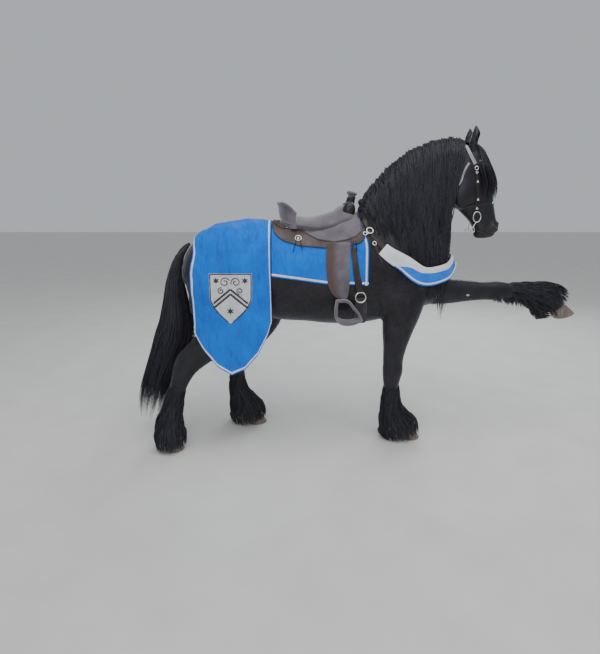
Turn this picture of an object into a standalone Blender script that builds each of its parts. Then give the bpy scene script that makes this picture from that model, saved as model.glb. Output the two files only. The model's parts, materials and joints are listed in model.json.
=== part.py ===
# A Friesian stallion in show dress, life size, giving a raised foreleg salute.
# Units are metres, +X is forward, +Y is the horse's left and +Z is up.
# The horse stands on three feet, with its left foreleg held out level.
import math
import random

import bmesh
import bpy
import numpy as np
from mathutils import Matrix, Vector
from mathutils.bvhtree import BVHTree

# Driving dimensions
GAP = 0.0003            # the space kept between touching pieces
SWELL = 0.0005          # a neighbour grows by this before it trims a piece that rests on it
MOST_STRETCH = 1.5      # a sharp corner moves out by this many times that distance at most
SLIGHT = 0.0002         # and for a last pass, which only takes away slivers left at sharp edges
IMPRINT = 0.0009        # the same for a piece that already has its neighbour resting on it
WITHERS_Z = 1.60        # height at the withers
CROUP_Z = 1.543         # height at the croup
BELLY_Z = 0.844         # lowest point of the trunk
TRUNK_HALF_WIDTH = 0.30
CANNON = 0.050          # half the depth of the cannon, from front to back
HOOF_HEIGHT = 0.088
HOOF_LENGTH = 0.150
HOOF_WIDTH = 0.136
EYE_RADIUS = 0.021
CLOTH = 0.006           # thickness of the quilted cloths
PATCH = 0.003
LEATHER = 0.005
STRAP = 0.0035
AXIS_Z = 1.16           # the trunk's axis, from which cloth is laid over the back
CLEAR = 0.0006          # how far a sheet stays off the surface that it lies on
REACH = 0.030           # how far off that surface is looked for
LIFT_PASSES = 3
SEAT_DEPTH = 0.10       # the saddle tree is cut away this far below the skirt's upper face
PLACES_ON_A_TRIANGLE = (
    (1, 0, 0), (0, 1, 0), (0, 0, 1), (0.5, 0.5, 0), (0, 0.5, 0.5), (0.5, 0, 0.5), (0.34, 0.33, 0.33),
)
FLESH_VOXEL = 0.008
TRUNK_TRIANGLES = 900   # how many the trunk and neck, the legs and the head keep
LEG_TRIANGLES = 1250
HEAD_TRIANGLES = 950
SEED = 7
HAIR_KEPT = 0.62        # share of the fused locks' triangles that stay

RIGHT = -1
LEFT = 1
SIDES = (("right", RIGHT), ("left", LEFT))

for old in list(bpy.data.objects):
    bpy.data.objects.remove(old)

model = bpy.data.collections.new("friesian_horse")
helpers = bpy.data.collections.new("helpers")
bpy.context.scene.collection.children.link(model)
bpy.context.scene.collection.children.link(helpers)


def finish(name, colour, roughness, metallic=0.0):
    """A plain surface of one colour."""
    material = bpy.data.materials.new(name)
    material.use_nodes = True
    shader = material.node_tree.nodes["Principled BSDF"]
    shader.inputs["Base Color"].default_value = (*colour, 1.0)
    shader.inputs["Roughness"].default_value = roughness
    shader.inputs["Metallic"].default_value = metallic
    material.diffuse_color = (*colour, 1.0)
    return material


COAT = finish("black_coat", (0.020, 0.018, 0.020), 0.55)
HORN = finish("hoof_horn", (0.30, 0.26, 0.24), 0.6)
EYE = finish("eye", (0.02, 0.012, 0.008), 0.08)
BLUE = finish("blue_cloth", (0.0, 0.24, 0.70), 0.7)
SILVER_CLOTH = finish("silver_cloth", (0.70, 0.70, 0.72), 0.5)
SUEDE = finish("grey_suede", (0.22, 0.20, 0.20), 0.9)
BROWN = finish("brown_leather", (0.16, 0.09, 0.06), 0.5)
BLACK = finish("black_leather", (0.015, 0.014, 0.014), 0.4)
MOHAIR = finish("grey_mohair", (0.25, 0.25, 0.26), 0.9)
SILVER = finish("silver_metal", (0.75, 0.74, 0.72), 0.3, 1.0)


# Mesh helpers

def place(name, mesh, material, collection=model):
    """A new object that holds this mesh."""
    body = bpy.data.objects.new(name, mesh)
    mesh.materials.clear()
    mesh.materials.append(material)
    collection.objects.link(body)
    return body


def mesh_from(points, faces, name="shape"):
    mesh = bpy.data.meshes.new(name)
    mesh.from_pydata([tuple(p) for p in points], [], faces)
    mesh.update()
    face_outwards(mesh)
    return mesh


def face_outwards(mesh):
    work = bmesh.new()
    work.from_mesh(mesh)
    bmesh.ops.recalc_face_normals(work, faces=work.faces)
    bmesh.ops.triangulate(work, faces=work.faces)
    work.to_mesh(mesh)
    work.free()


def into_triangles(mesh):
    work = bmesh.new()
    work.from_mesh(mesh)
    bmesh.ops.triangulate(work, faces=work.faces)
    work.to_mesh(mesh)
    work.free()


def smooth_rows(rows, count):
    """Rows of numbers, the first three a point, on a smooth curve through the given rows."""
    rows = np.array(rows, float)
    steps = np.linalg.norm(np.diff(rows[:, :3], axis=0), axis=1)
    at = np.concatenate([[0.0], np.cumsum(steps)])
    slope = np.gradient(rows, at, axis=0)
    wanted = np.linspace(0.0, at[-1], count)
    k = np.clip(np.searchsorted(at, wanted, side="right") - 1, 0, len(at) - 2)
    span = (at[k + 1] - at[k])[:, None]
    t = (wanted[:, None] - at[k][:, None]) / span
    return (
        (2 * t**3 - 3 * t**2 + 1) * rows[k]
        + (t**3 - 2 * t**2 + t) * span * slope[k]
        + (3 * t**2 - 2 * t**3) * rows[k + 1]
        + (t**3 - t**2) * span * slope[k + 1]
    )


def frames_along(points, across=(0.0, 1.0, 0.0)):
    """Tangent, front and side directions at each point of a path."""
    tangent = np.gradient(points, axis=0)
    tangent /= np.linalg.norm(tangent, axis=1)[:, None]
    side = np.array(across) - tangent * (tangent @ np.array(across))[:, None]
    side /= np.linalg.norm(side, axis=1)[:, None]
    return tangent, np.cross(tangent, side), side


def tube(stations, rings, sides=24, power=2.2):
    """A closed body along a path: x, y, z, then its reach to the front, to the back and to each side."""
    rows = smooth_rows(stations, rings)
    _, front, side = frames_along(rows[:, :3])
    turn = (np.arange(sides) + 0.5) * 2 * math.pi / sides
    c = np.sign(np.cos(turn)) * np.abs(np.cos(turn)) ** (2 / power)
    s = np.sign(np.sin(turn)) * np.abs(np.sin(turn)) ** (2 / power)
    points, faces = [], []
    for row, n, b in zip(rows, front, side):
        reach = np.where(s >= 0, row[3], row[4])
        points.extend(row[:3] + np.outer(s * reach, n) + np.outer(c * row[5], b))
    for r in range(rings - 1):
        for k in range(sides):
            a, b = r * sides + k, r * sides + (k + 1) % sides
            faces.append((a, a + sides, b + sides, b))
    faces.append(tuple(range(sides)))
    faces.append(tuple((rings - 1) * sides + k for k in reversed(range(sides))))
    return mesh_from(points, faces)


def blob(centre, radii, lean=0.0, segments=20):
    """An ellipsoid of muscle or bone, leaning about the Y axis by degrees."""
    work = bmesh.new()
    bmesh.ops.create_uvsphere(work, u_segments=segments, v_segments=segments // 2, radius=1.0)
    bmesh.ops.triangulate(work, faces=work.faces)
    shape = (
        Matrix.Translation(centre)
        @ Matrix.Rotation(math.radians(lean), 4, "Y")
        @ Matrix.Diagonal((*radii, 1.0))
    )
    work.transform(shape)
    mesh = bpy.data.meshes.new("blob")
    work.to_mesh(mesh)
    work.free()
    return mesh


def slab(centre, size, lean=0.0):
    """A box, leaning about the Y axis by degrees."""
    work = bmesh.new()
    bmesh.ops.create_cube(work, size=1.0)
    shape = (
        Matrix.Translation(centre)
        @ Matrix.Rotation(math.radians(lean), 4, "Y")
        @ Matrix.Diagonal((*size, 1.0))
    )
    work.transform(shape)
    mesh = bpy.data.meshes.new("slab")
    work.to_mesh(mesh)
    work.free()
    return mesh


def joined(meshes):
    """One mesh that holds all of these."""
    work = bmesh.new()
    for mesh in meshes:
        work.from_mesh(mesh)
    whole = bpy.data.meshes.new("joined")
    work.to_mesh(whole)
    work.free()
    return whole


def apply_modifiers(body):
    bpy.context.view_layer.update()
    graph = bpy.context.evaluated_depsgraph_get()
    mesh = bpy.data.meshes.new_from_object(body.evaluated_get(graph))
    body.modifiers.clear()
    body.data = mesh


def closed_surfaces(mesh):
    """The faces of each closed surface of a mesh, the smallest first, and the bmesh they are in."""
    work = bmesh.new()
    work.from_mesh(mesh)
    seen, groups = set(), []
    for first in work.faces:
        if first in seen:
            continue
        group, edge = [], [first]
        seen.add(first)
        while edge:
            f = edge.pop()
            group.append(f)
            for e in f.edges:
                for other in e.link_faces:
                    if other not in seen:
                        seen.add(other)
                        edge.append(other)
        groups.append(group)
    groups.sort(key=len)
    return work, groups


def largest_only(body):
    """Keeps the largest closed surface of a body."""
    work, groups = closed_surfaces(body.data)
    others = [f for group in groups[:-1] for f in group]
    bmesh.ops.delete(work, geom=others, context="FACES")
    work.to_mesh(body.data)
    work.free()


def combine(body, meshes, operation, solver="MANIFOLD"):
    """Joins these closed meshes to a body, or cuts them from it, in one Boolean."""
    others = bpy.data.collections.new("others")
    helpers.children.link(others)
    for mesh in meshes:
        place("other", mesh, body.data.materials[0], others)
    boolean = body.modifiers.new("Combine", "BOOLEAN")
    boolean.operation = operation
    boolean.operand_type = "COLLECTION"
    boolean.collection = others
    boolean.solver = solver
    apply_modifiers(body)
    into_triangles(body.data)
    for other in list(others.objects):
        bpy.data.objects.remove(other)
    bpy.data.collections.remove(others)
    return body


def swollen(mesh, by=SWELL):
    """A copy of a mesh, grown outwards by a small distance on every face."""
    work = bmesh.new()
    work.from_mesh(mesh)
    work.normal_update()
    moves = [v.normal * by * min(v.calc_shell_factor(), MOST_STRETCH) for v in work.verts]
    for v, move in zip(work.verts, moves):
        v.co += move
    copy = bpy.data.meshes.new("swollen")
    work.to_mesh(copy)
    work.free()
    return copy


def room_for(neighbours, by):
    """What a piece is trimmed by to clear its neighbours: each one swollen, and as it is."""
    return [swollen(other.data, by) for other in neighbours]


def seat(body, *neighbours, by=SWELL):
    """Trims a body where it sinks into its neighbours, so that it rests on them with a thin gap."""
    combine(body, room_for(neighbours, by), "DIFFERENCE")
    largest_only(body)
    return body


def clear(body, *neighbours):
    """A last pass, which takes away slivers that sharp edges leave inside the neighbours."""
    others = room_for(neighbours, SLIGHT) + [other.data.copy() for other in neighbours]
    combine(body, others, "DIFFERENCE")
    largest_only(body)


def tree_of(*bodies):
    """What rays are cast at: the surfaces of these bodies together."""
    points, faces = [], []
    for body in bodies:
        start = len(points)
        points.extend(v.co.copy() for v in body.data.vertices)
        faces.extend([start + k for k in p.vertices] for p in body.data.polygons)
    return BVHTree.FromPolygons(points, faces)


# Flesh: each row is x, y, z, reach to the front or top, reach to the back or bottom, half width

TRUNK = (
    (-0.787, 0, 1.291, 0.072, 0.082, 0.082),
    (-0.756, 0, 1.281, 0.154, 0.134, 0.185),
    (-0.679, 0, 1.250, 0.252, 0.175, 0.257),
    (-0.566, 0, 1.230, 0.309, 0.206, 0.293),
    (-0.432, 0, 1.209, CROUP_Z - 1.209, 0.247, 0.304),
    (-0.268, 0, 1.199, 0.353, 0.298, 0.296),
    (-0.103, 0, 1.178, 0.348, 0.309, 0.298),
    (0.062, 0, 1.168, 0.345, 0.309, TRUNK_HALF_WIDTH),
    (0.206, 0, 1.163, 0.365, 1.163 - BELLY_Z, 0.307),
    (0.360, 0, 1.168, WITHERS_Z - 1.168, 0.322, 0.288),
    (0.514, 0, 1.178, 0.412, 0.314, 0.270),
    (0.669, 0, 1.178, 0.350, 0.273, 0.257),
    (0.813, 0, 1.168, 0.268, 0.221, 0.242),
    (0.926, 0, 1.158, 0.180, 0.170, 0.201),
    (0.996, 0, 1.147, 0.093, 0.093, 0.113),
)
NECK = (
    (0.514, 0, 1.271, 0.340, 0.340, 0.221),
    (0.659, 0, 1.466, 0.309, 0.309, 0.185),
    (0.733, 0, 1.641, 0.262, 0.257, 0.146),
    (0.801, 0, 1.765, 0.218, 0.218, 0.123),
    (0.875, 0, 1.857, 0.179, 0.183, 0.109),
    (0.952, 0, 1.919, 0.144, 0.152, 0.099),
    (1.039, 0, 1.955, 0.108, 0.123, 0.091),
    (1.101, 0, 1.955, 0.072, 0.082, 0.072),
)
HEAD = (
    (1.080, 0, 2.027, 0.046, 0.062, 0.054),
    (1.117, 0, 1.976, 0.080, 0.103, 0.086),
    (1.152, 0, 1.888, 0.101, 0.139, 0.097),
    (1.181, 0, 1.796, 0.105, 0.165, 0.082),
    (1.208, 0, 1.708, 0.099, 0.163, 0.068),
    (1.236, 0, 1.626, 0.088, 0.126, 0.056),
    (1.255, 0, 1.559, 0.084, 0.091, 0.051),
    (1.268, 0, 1.502, 0.082, 0.080, 0.055),
    (1.276, 0, 1.461, 0.068, 0.072, 0.050),
    (1.279, 0, 1.435, 0.041, 0.045, 0.033),
)
FORE_RIGHT = (
    (0.710, -0.154, 1.147, 0.154, 0.154, 0.087),
    (0.681, -0.165, 0.962, 0.132, 0.123, 0.091),
    (0.664, -0.150, 0.839, 0.107, 0.108, 0.082),
    (0.652, -0.126, 0.695, 0.080, 0.082, 0.065),
    (0.646, -0.108, 0.581, 0.068, 0.070, 0.055),
    (0.646, -0.100, 0.515, 0.072, 0.070, 0.060),
    (0.645, -0.091, 0.453, 0.060, 0.064, 0.050),
    (0.645, -0.078, 0.365, 0.051, CANNON, 0.042),
    (0.648, -0.064, 0.252, 0.051, CANNON, 0.042),
    (0.654, -0.057, 0.185, 0.062, 0.066, 0.051),
    (0.683, -0.052, 0.118, 0.051, 0.054, 0.048),
    (0.720, -0.048, 0.057, 0.058, 0.060, 0.056),
    (0.746, -0.048, 0.010, 0.047, 0.049, 0.047),
)
FORE_LEFT = (
    (0.782, 0.139, 1.188, 0.154, 0.154, 0.087),
    (0.926, 0.159, 1.086, 0.118, 0.129, 0.091),
    (1.060, 0.173, 1.044, 0.095, 0.108, 0.082),
    (1.214, 0.181, 1.040, 0.078, 0.088, 0.066),
    (1.379, 0.185, 1.036, 0.068, 0.072, 0.056),
    (1.461, 0.187, 1.034, 0.074, 0.072, 0.060),
    (1.523, 0.188, 1.034, 0.064, 0.066, 0.050),
    (1.616, 0.189, 1.038, 0.054, CANNON, 0.042),
    (1.729, 0.190, 1.044, 0.051, CANNON, 0.042),
    (1.796, 0.191, 1.034, 0.062, 0.066, 0.051),
    (1.857, 0.192, 0.981, 0.051, 0.054, 0.048),
    (1.916, 0.193, 0.929, 0.058, 0.060, 0.056),
    (1.960, 0.193, 0.898, 0.047, 0.049, 0.047),
)
HIND_RIGHT = (
    (-0.514, -0.134, 1.240, 0.206, 0.226, 0.134),
    (-0.489, -0.170, 1.044, 0.211, 0.252, 0.129),
    (-0.484, -0.180, 0.890, 0.180, 0.232, 0.111),
    (-0.556, -0.185, 0.767, 0.129, 0.154, 0.088),
    (-0.664, -0.190, 0.672, 0.086, 0.108, 0.065),
    (-0.756, -0.196, 0.587, 0.076, 0.095, 0.056),
    (-0.803, -0.198, 0.499, 0.062, 0.070, 0.051),
    (-0.836, -0.202, 0.396, 0.051, 0.056, 0.043),
    (-0.871, -0.206, 0.268, 0.051, 0.056, 0.043),
    (-0.893, -0.209, 0.192, 0.062, 0.068, 0.052),
    (-0.893, -0.216, 0.123, 0.051, 0.055, 0.049),
    (-0.887, -0.222, 0.057, 0.058, 0.060, 0.057),
    (-0.881, -0.226, 0.005, 0.047, 0.049, 0.047),
)
HIND_LEFT = (
    (-0.473, 0.134, 1.240, 0.206, 0.226, 0.134),
    (-0.360, 0.165, 1.044, 0.211, 0.252, 0.129),
    (-0.293, 0.175, 0.880, 0.170, 0.206, 0.111),
    (-0.334, 0.180, 0.746, 0.121, 0.139, 0.088),
    (-0.422, 0.185, 0.643, 0.086, 0.103, 0.065),
    (-0.492, 0.187, 0.556, 0.074, 0.093, 0.056),
    (-0.486, 0.189, 0.473, 0.062, 0.068, 0.051),
    (-0.471, 0.191, 0.376, 0.051, 0.054, 0.043),
    (-0.463, 0.193, 0.257, 0.051, 0.054, 0.043),
    (-0.457, 0.196, 0.188, 0.062, 0.068, 0.052),
    (-0.424, 0.198, 0.120, 0.051, 0.054, 0.049),
    (-0.389, 0.199, 0.057, 0.058, 0.060, 0.057),
    (-0.364, 0.199, 0.010, 0.047, 0.049, 0.047),
)

# Muscles and bones that round the form: centre, radii, lean in degrees, and the sides that have them
BOTH = (RIGHT, LEFT)
MUSCLES = (
    # shoulder, point of the shoulder, elbow and breast
    ((0.659, 0.154, 1.261), (0.154, 0.098, 0.268), 25, BOTH),
    ((0.854, 0.144, 1.137), (0.113, 0.082, 0.113), 0, BOTH),
    ((0.648, 0.170, 1.044), (0.144, 0.087, 0.123), 10, BOTH),
    ((0.921, 0.082, 1.116), (0.082, 0.082, 0.134), 0, BOTH),
    # croup, buttock and stifle
    ((-0.463, 0.154, 1.353), (0.237, 0.134, 0.165), 5, BOTH),
    ((-0.607, 0.154, 1.168), (0.154, 0.118, 0.247), -5, BOTH),
    ((-0.340, 0.180, 1.034), (0.144, 0.108, 0.196), 10, BOTH),
    # cheek, brow, nostril and chin
    ((1.103, 0.051, 1.749), (0.087, 0.039, 0.118), 12, BOTH),
    ((1.183, 0.082, 1.914), (0.047, 0.027, 0.031), 20, BOTH),
    ((1.320, 0.031, 1.513), (0.035, 0.028, 0.043), -10, BOTH),
    ((1.227, 0.000, 1.458), (0.037, 0.035, 0.029), 0, (RIGHT,)),
)

# Cuts that part the body: centre, length and height of the thin slab, and its lean in degrees
CUTS = {
    "neck_base": ((0.684, 0, 1.446), (0.800, 0.90), 34.5),
    "throat": ((1.035, 0, 1.890), (0.520, 0.50), 99.0),
    "elbow": ((0.669, -0.154, 0.833), (0.340, 0.30), 0.0),
    "arm_root": ((1.019, 0.175, 1.065), (0.400, 0.30), 90.0),
    "thigh": ((-0.442, 0, 0.931), (0.760, 0.90), 20.0),
    "knee_right": ((0.646, -0.123, 0.442), (0.300, 0.30), 0.0),
    "knee_left": ((1.538, 0.185, 1.034), (0.300, 0.30), 90.0),
    "hock_right": ((-0.813, -0.196, 0.468), (0.300, 0.24), 0.0),
    "hock_left": ((-0.486, 0.185, 0.448), (0.300, 0.24), 0.0),
}


def flesh():
    """The whole animal in one skin, from the muzzle to the coronets."""
    pieces = [tube(TRUNK, 48, 40), tube(NECK, 36, 32), tube(HEAD, 36, 32)]
    for stations in (FORE_RIGHT, FORE_LEFT, HIND_RIGHT, HIND_LEFT):
        pieces.append(tube(stations, 60, 24, 2.0))
    for centre, radii, lean, sides in MUSCLES:
        for side in sides:
            pieces.append(blob((centre[0], centre[1] * side, centre[2]), radii, lean))
    body = place("flesh", joined(pieces), COAT, helpers)
    remesh = body.modifiers.new("Fuse", "REMESH")
    remesh.mode = "VOXEL"
    remesh.voxel_size = FLESH_VOXEL
    soften = body.modifiers.new("Soften", "SMOOTH")
    soften.factor = 0.5
    soften.iterations = 10
    apply_modifiers(body)
    thin_region(body, lambda p: not on_head(p) and not on_leg(p), TRUNK_TRIANGLES)
    thin_region(body, on_leg, LEG_TRIANGLES)
    thin_region(body, on_head, HEAD_TRIANGLES)
    return body


def on_head(p):
    return p.x > 1.02 and p.z > 1.38


def on_leg(p):
    return p.z < 0.80 or (p.x > 1.05 and p.z < 1.30)


def thin_region(body, inside, triangles):
    """Reduces one region of a mesh to about this many triangles, and leaves the rest as it is."""
    region = body.vertex_groups.new(name="region")
    region.add([v.index for v in body.data.vertices if inside(v.co)], 1.0, "REPLACE")
    there = sum(len(f.vertices) - 2 for f in body.data.polygons if inside(f.center))
    total = sum(len(f.vertices) - 2 for f in body.data.polygons)
    thin = body.modifiers.new("Thin", "DECIMATE")
    thin.ratio = (total - there + triangles) / total
    thin.vertex_group = region.name
    thin.vertex_group_factor = 1.0
    apply_modifiers(body)
    body.vertex_groups.clear()


# Each foot: the middle of the coronet and of the sole, and how far each leans
HOOVES = {
    "fore_leg_right": ((0.730, -0.048, HOOF_HEIGHT), -24, (0.789, -0.048, 0.0), 0),
    "fore_leg_left": ((1.916, 0.193, 0.911), -38, (1.978, 0.193, 0.847), -20),
    "hind_leg_right": ((-0.900, -0.222, HOOF_HEIGHT), -15, (-0.872, -0.225, 0.0), 0),
    "hind_leg_left": ((-0.392, 0.198, HOOF_HEIGHT), -24, (-0.334, 0.198, 0.0), 0),
}
# A point inside each piece of flesh, by which it is named once the body is parted
INSIDE = {
    "torso": (0.000, 0.000, 1.188),
    "neck": (0.772, 0.000, 1.652),
    "head": (1.183, 0.000, 1.806),
    "fore_leg_right_upper": (0.652, -0.144, 0.695),
    "fore_leg_right_lower": (0.645, -0.111, 0.314),
    "fore_leg_left_upper": (1.286, 0.183, 1.039),
    "fore_leg_left_lower": (1.667, 0.189, 1.040),
    "hind_leg_right_upper": (-0.556, -0.185, 0.767),
    "hind_leg_right_lower": (-0.844, -0.203, 0.365),
    "hind_leg_left_upper": (-0.334, 0.180, 0.746),
    "hind_leg_left_lower": (-0.468, 0.192, 0.314),
}


def holds(mesh, point):
    """Whether a point is inside a closed mesh."""
    tree = BVHTree.FromPolygons([v.co for v in mesh.vertices], [p.vertices for p in mesh.polygons])
    at, crossings = Vector(point), 0
    while True:
        hit = tree.ray_cast(at, Vector((0, 1, 0)))[0]
        if hit is None:
            return crossings % 2 == 1
        crossings += 1
        at = hit + Vector((0, 1e-5, 0))


def part_flesh(skin):
    """Parts the skin with thin cuts, and names each piece."""
    cutters = []
    for centre, size, lean in CUTS.values():
        cutters.append(slab(centre, (*size, GAP), lean))
    for coronet, lean, _, _ in HOOVES.values():
        cutters.append(slab(coronet, (0.20, 0.20, GAP), lean))
    combine(skin, cutters, "DIFFERENCE")
    work, groups = closed_surfaces(skin.data)
    work.faces.index_update()
    number = {f.index: n for n, group in enumerate(groups) for f in group}
    pieces = []
    for n in range(len(groups)):
        copy = work.copy()
        copy.faces.ensure_lookup_table()
        others = [f for f in copy.faces if number[f.index] != n]
        bmesh.ops.delete(copy, geom=others, context="FACES")
        mesh = bpy.data.meshes.new("piece")
        copy.to_mesh(mesh)
        copy.free()
        pieces.append(mesh)
    work.free()
    bpy.data.objects.remove(skin)
    named = {}
    for name, point in INSIDE.items():
        for mesh in pieces:
            if holds(mesh, point):
                named[name] = place(name, mesh, COAT)
    return named


# Feet, eyes and ears

def ring(centre, radii, lean, sides):
    """Points round a leaning ellipse."""
    turned = Matrix.Rotation(math.radians(lean), 3, "Y")
    points = []
    for k in range(sides):
        turn = 2 * math.pi * k / sides
        flat = Vector((radii[0] * math.cos(turn), radii[1] * math.sin(turn), 0))
        points.append(Vector(centre) + turned @ flat)
    return points


def hoof(name, coronet, coronet_lean, sole, sole_lean, sides=20):
    """A hoof that spreads from the coronet down to its flat sole."""
    up = Matrix.Rotation(math.radians(coronet_lean), 3, "Y") @ Vector((0, 0, 1))
    top = Vector(coronet) - up * GAP / 2
    points, faces = [], []
    levels = ((0.0, 0.76, 0.80), (0.12, 0.80, 0.84), (1.0, 1.0, 1.0))
    for t, long, wide in levels:
        centre = top.lerp(Vector(sole), t)
        lean = coronet_lean + (sole_lean - coronet_lean) * t
        radii = (HOOF_LENGTH / 2 * long, HOOF_WIDTH / 2 * wide)
        points.extend(ring(centre, radii, lean, sides))
    for r in range(len(levels) - 1):
        for k in range(sides):
            a, b = r * sides + k, r * sides + (k + 1) % sides
            faces.append((a, b, b + sides, a + sides))
    faces.append(tuple(range(sides)))
    faces.append(tuple(2 * sides + k for k in range(sides)))
    return place(name, mesh_from(points, faces), HORN)


EYE_AT = (1.199, 0.076, 1.873)
NOSTRIL_AT = (1.340, 0.050, 1.521)
NOSTRIL = (0.010, 0.014, 0.019)
LID_SHARES = (1.42, 1.24, 1.30)     # the lids' size as shares of the eye's


def eyelid(centre, above, edge, tilt):
    """The part of a thin ball round the eye above or below a level edge."""
    radii = [EYE_RADIUS * share for share in LID_SHARES]
    lid = place("lid", blob(centre, radii, 0, 12), COAT, helpers)
    cut = slab((0, 0, 0), (0.2, 0.2, 0.1))
    cut.transform(Matrix.Rotation(tilt, 4, "Y"))
    cut.transform(Matrix.Translation(Vector(centre) + Vector((0, 0, edge - 0.05 * above))))
    combine(lid, [cut], "DIFFERENCE")
    mesh = lid.data
    bpy.data.objects.remove(lid)
    return mesh


def mouth_groove():
    """A thin plate along the lips, hollow where the jaws are."""
    plate = slab((1.254, 0, 1.509), (0.190, 0.20, 0.0032), 49.8)
    inner = [(x, y, z, f * 0.90, b * 0.90, w * 0.87) for x, y, z, f, b, w in HEAD]
    groove = place("groove", plate, COAT, helpers)
    combine(groove, [tube(inner, 14, 14)], "DIFFERENCE")
    mesh = groove.data
    bpy.data.objects.remove(groove)
    return mesh


def face(head):
    """Lids, eye sockets, nostrils and the line of the mouth."""
    lids, hollows = [], [mouth_groove()]
    for side in BOTH:
        x, y, z = EYE_AT[0], EYE_AT[1] * side, EYE_AT[2]
        lids.append(eyelid((x, y, z), 1, 0.007, 0.25))
        lids.append(eyelid((x, y, z), -1, -0.011, 0.25))
        hollows.append(blob((x, y, z), (EYE_RADIUS + GAP,) * 3, segments=12))
        nostril_at = (NOSTRIL_AT[0], NOSTRIL_AT[1] * side, NOSTRIL_AT[2])
        hollows.append(blob(nostril_at, NOSTRIL, -25, 10))
    combine(head, lids, "UNION")
    combine(head, hollows, "DIFFERENCE")
    largest_only(head)


def ear(name, side, head):
    """An upright ear with a deep cup that opens forwards and a little outwards."""
    outer = (
        (1.124, side * 0.050, 1.971, 0.020, 0.020, 0.020),
        (1.128, side * 0.058, 2.022, 0.026, 0.024, 0.027),
        (1.134, side * 0.064, 2.073, 0.026, 0.024, 0.030),
        (1.140, side * 0.062, 2.120, 0.019, 0.018, 0.023),
        (1.146, side * 0.055, 2.151, 0.010, 0.010, 0.012),
        (1.149, side * 0.050, 2.171, 0.003, 0.003, 0.003),
    )
    shape = place(name, tube(outer, 8, 10, 2.0), COAT)
    cup = (
        (1.150, side * 0.066, 2.030, 0.010, 0.020, 0.012),
        (1.154, side * 0.072, 2.063, 0.022, 0.030, 0.022),
        (1.158, side * 0.071, 2.104, 0.020, 0.030, 0.019),
        (1.162, side * 0.064, 2.144, 0.014, 0.020, 0.010),
    )
    combine(shape, [tube(cup, 6, 8, 2.0)], "DIFFERENCE")
    largest_only(shape)
    return seat(shape, head)


# Cloth and straps

def side_reach(tree, x, z, side):
    """How far the surface is from the middle plane at this x and z, or None in the open."""
    hit = tree.ray_cast(Vector((x, side * 2.0, z)), Vector((0, -side, 0)))[0]
    return hit.y * side if hit else None


def fall_line(tree, x, side, low):
    """How cloth hangs at this x, from the spine down to the height low: a list of (y, z)."""
    line, reach = [], 0.0
    for step in range(46):
        angle = math.radians(2 * step)
        out = Vector((0, side * math.sin(angle), math.cos(angle)))
        hit = tree.ray_cast(Vector((x, 0, AXIS_Z)) + out * 2, -out)[0]
        if hit:
            reach = max(reach, hit.y * side)
            line.append((reach, hit.z))
    while line[-1][1] > low:
        z = line[-1][1] - 0.02
        reach = max(reach, side_reach(tree, x, z, side) or 0.0)
        line.append((reach, z))
    line = np.array(line)
    at_low = np.interp(low, line[::-1, 1], line[::-1, 0])
    return np.vstack([line[line[:, 1] > low], [(at_low, low)]])


def along(table, value):
    """Reads a table of (position, value) pairs between its rows."""
    rows = sorted(table)
    return float(np.interp(value, [r[0] for r in rows], [r[1] for r in rows]))


def evenly(line, count):
    """Points at even steps along a line."""
    steps = np.linalg.norm(np.diff(line, axis=0), axis=1)
    at = np.concatenate([[0.0], np.cumsum(steps)])
    wanted = np.linspace(0.0, at[-1], count)
    return np.column_stack([np.interp(wanted, at, line[:, k]) for k in range(line.shape[1])])


def over_the_back(tree, rear, front, bottom, columns, rows):
    """A grid of points where cloth lies over the back.

    The rear and front edges are given by height, and the bottom edge by x."""
    grid = []
    for c in range(columns + 1):
        u = c / columns
        middle = along(rear, 1.3) * (1 - u) + along(front, 1.3) * u
        column = []
        for side in BOTH:
            first = evenly(fall_line(tree, middle, side, along(bottom, middle)), rows + 1)
            half = []
            for r in range(rows + 1):
                z = first[r][1]
                x = along(rear, z) * (1 - u) + along(front, z) * u
                here = evenly(fall_line(tree, x, side, along(bottom, x)), rows + 1)[r]
                half.append(Vector((x, side * here[0], here[1])))
            column.append(half)
        grid.append(list(reversed(column[0])) + column[1][1:])
    return grid


def side_grid(tree, levels, side, columns):
    """A grid on one side that hangs as cloth does, from rows of (height, rear x, front x), top first."""
    grid, reach = [], [0.0] * (columns + 1)
    for z, rear, front in levels:
        row = []
        for c in range(columns + 1):
            x = rear + (front - rear) * c / columns
            reach[c] = max(reach[c], side_reach(tree, x, z, side) or 0.0)
            row.append(Vector((x, side * reach[c], z)))
        grid.append(row)
    return grid


def lifted(points, normals, triangles, tree):
    """How far each point rises along its normal until the triangles clear the surface under them."""
    lift = [0.0] * len(points)
    for _ in range(LIFT_PASSES):
        wanted = list(lift)
        for triangle in triangles:
            corners = [points[i] + normals[i] * lift[i] for i in triangle]
            for weights in PLACES_ON_A_TRIANGLE:
                at = sum((c * w for c, w in zip(corners, weights)), Vector())
                up = sum((normals[i] * w for i, w in zip(triangle, weights)), Vector()).normalized()
                hit, _, _, distance = tree.ray_cast(at + up * REACH, -up, 2 * REACH)
                rise = REACH - distance + CLEAR if hit else 0.0
                for i in triangle:
                    wanted[i] = max(wanted[i], lift[i] + rise)
        lift = wanted
    return lift


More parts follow.
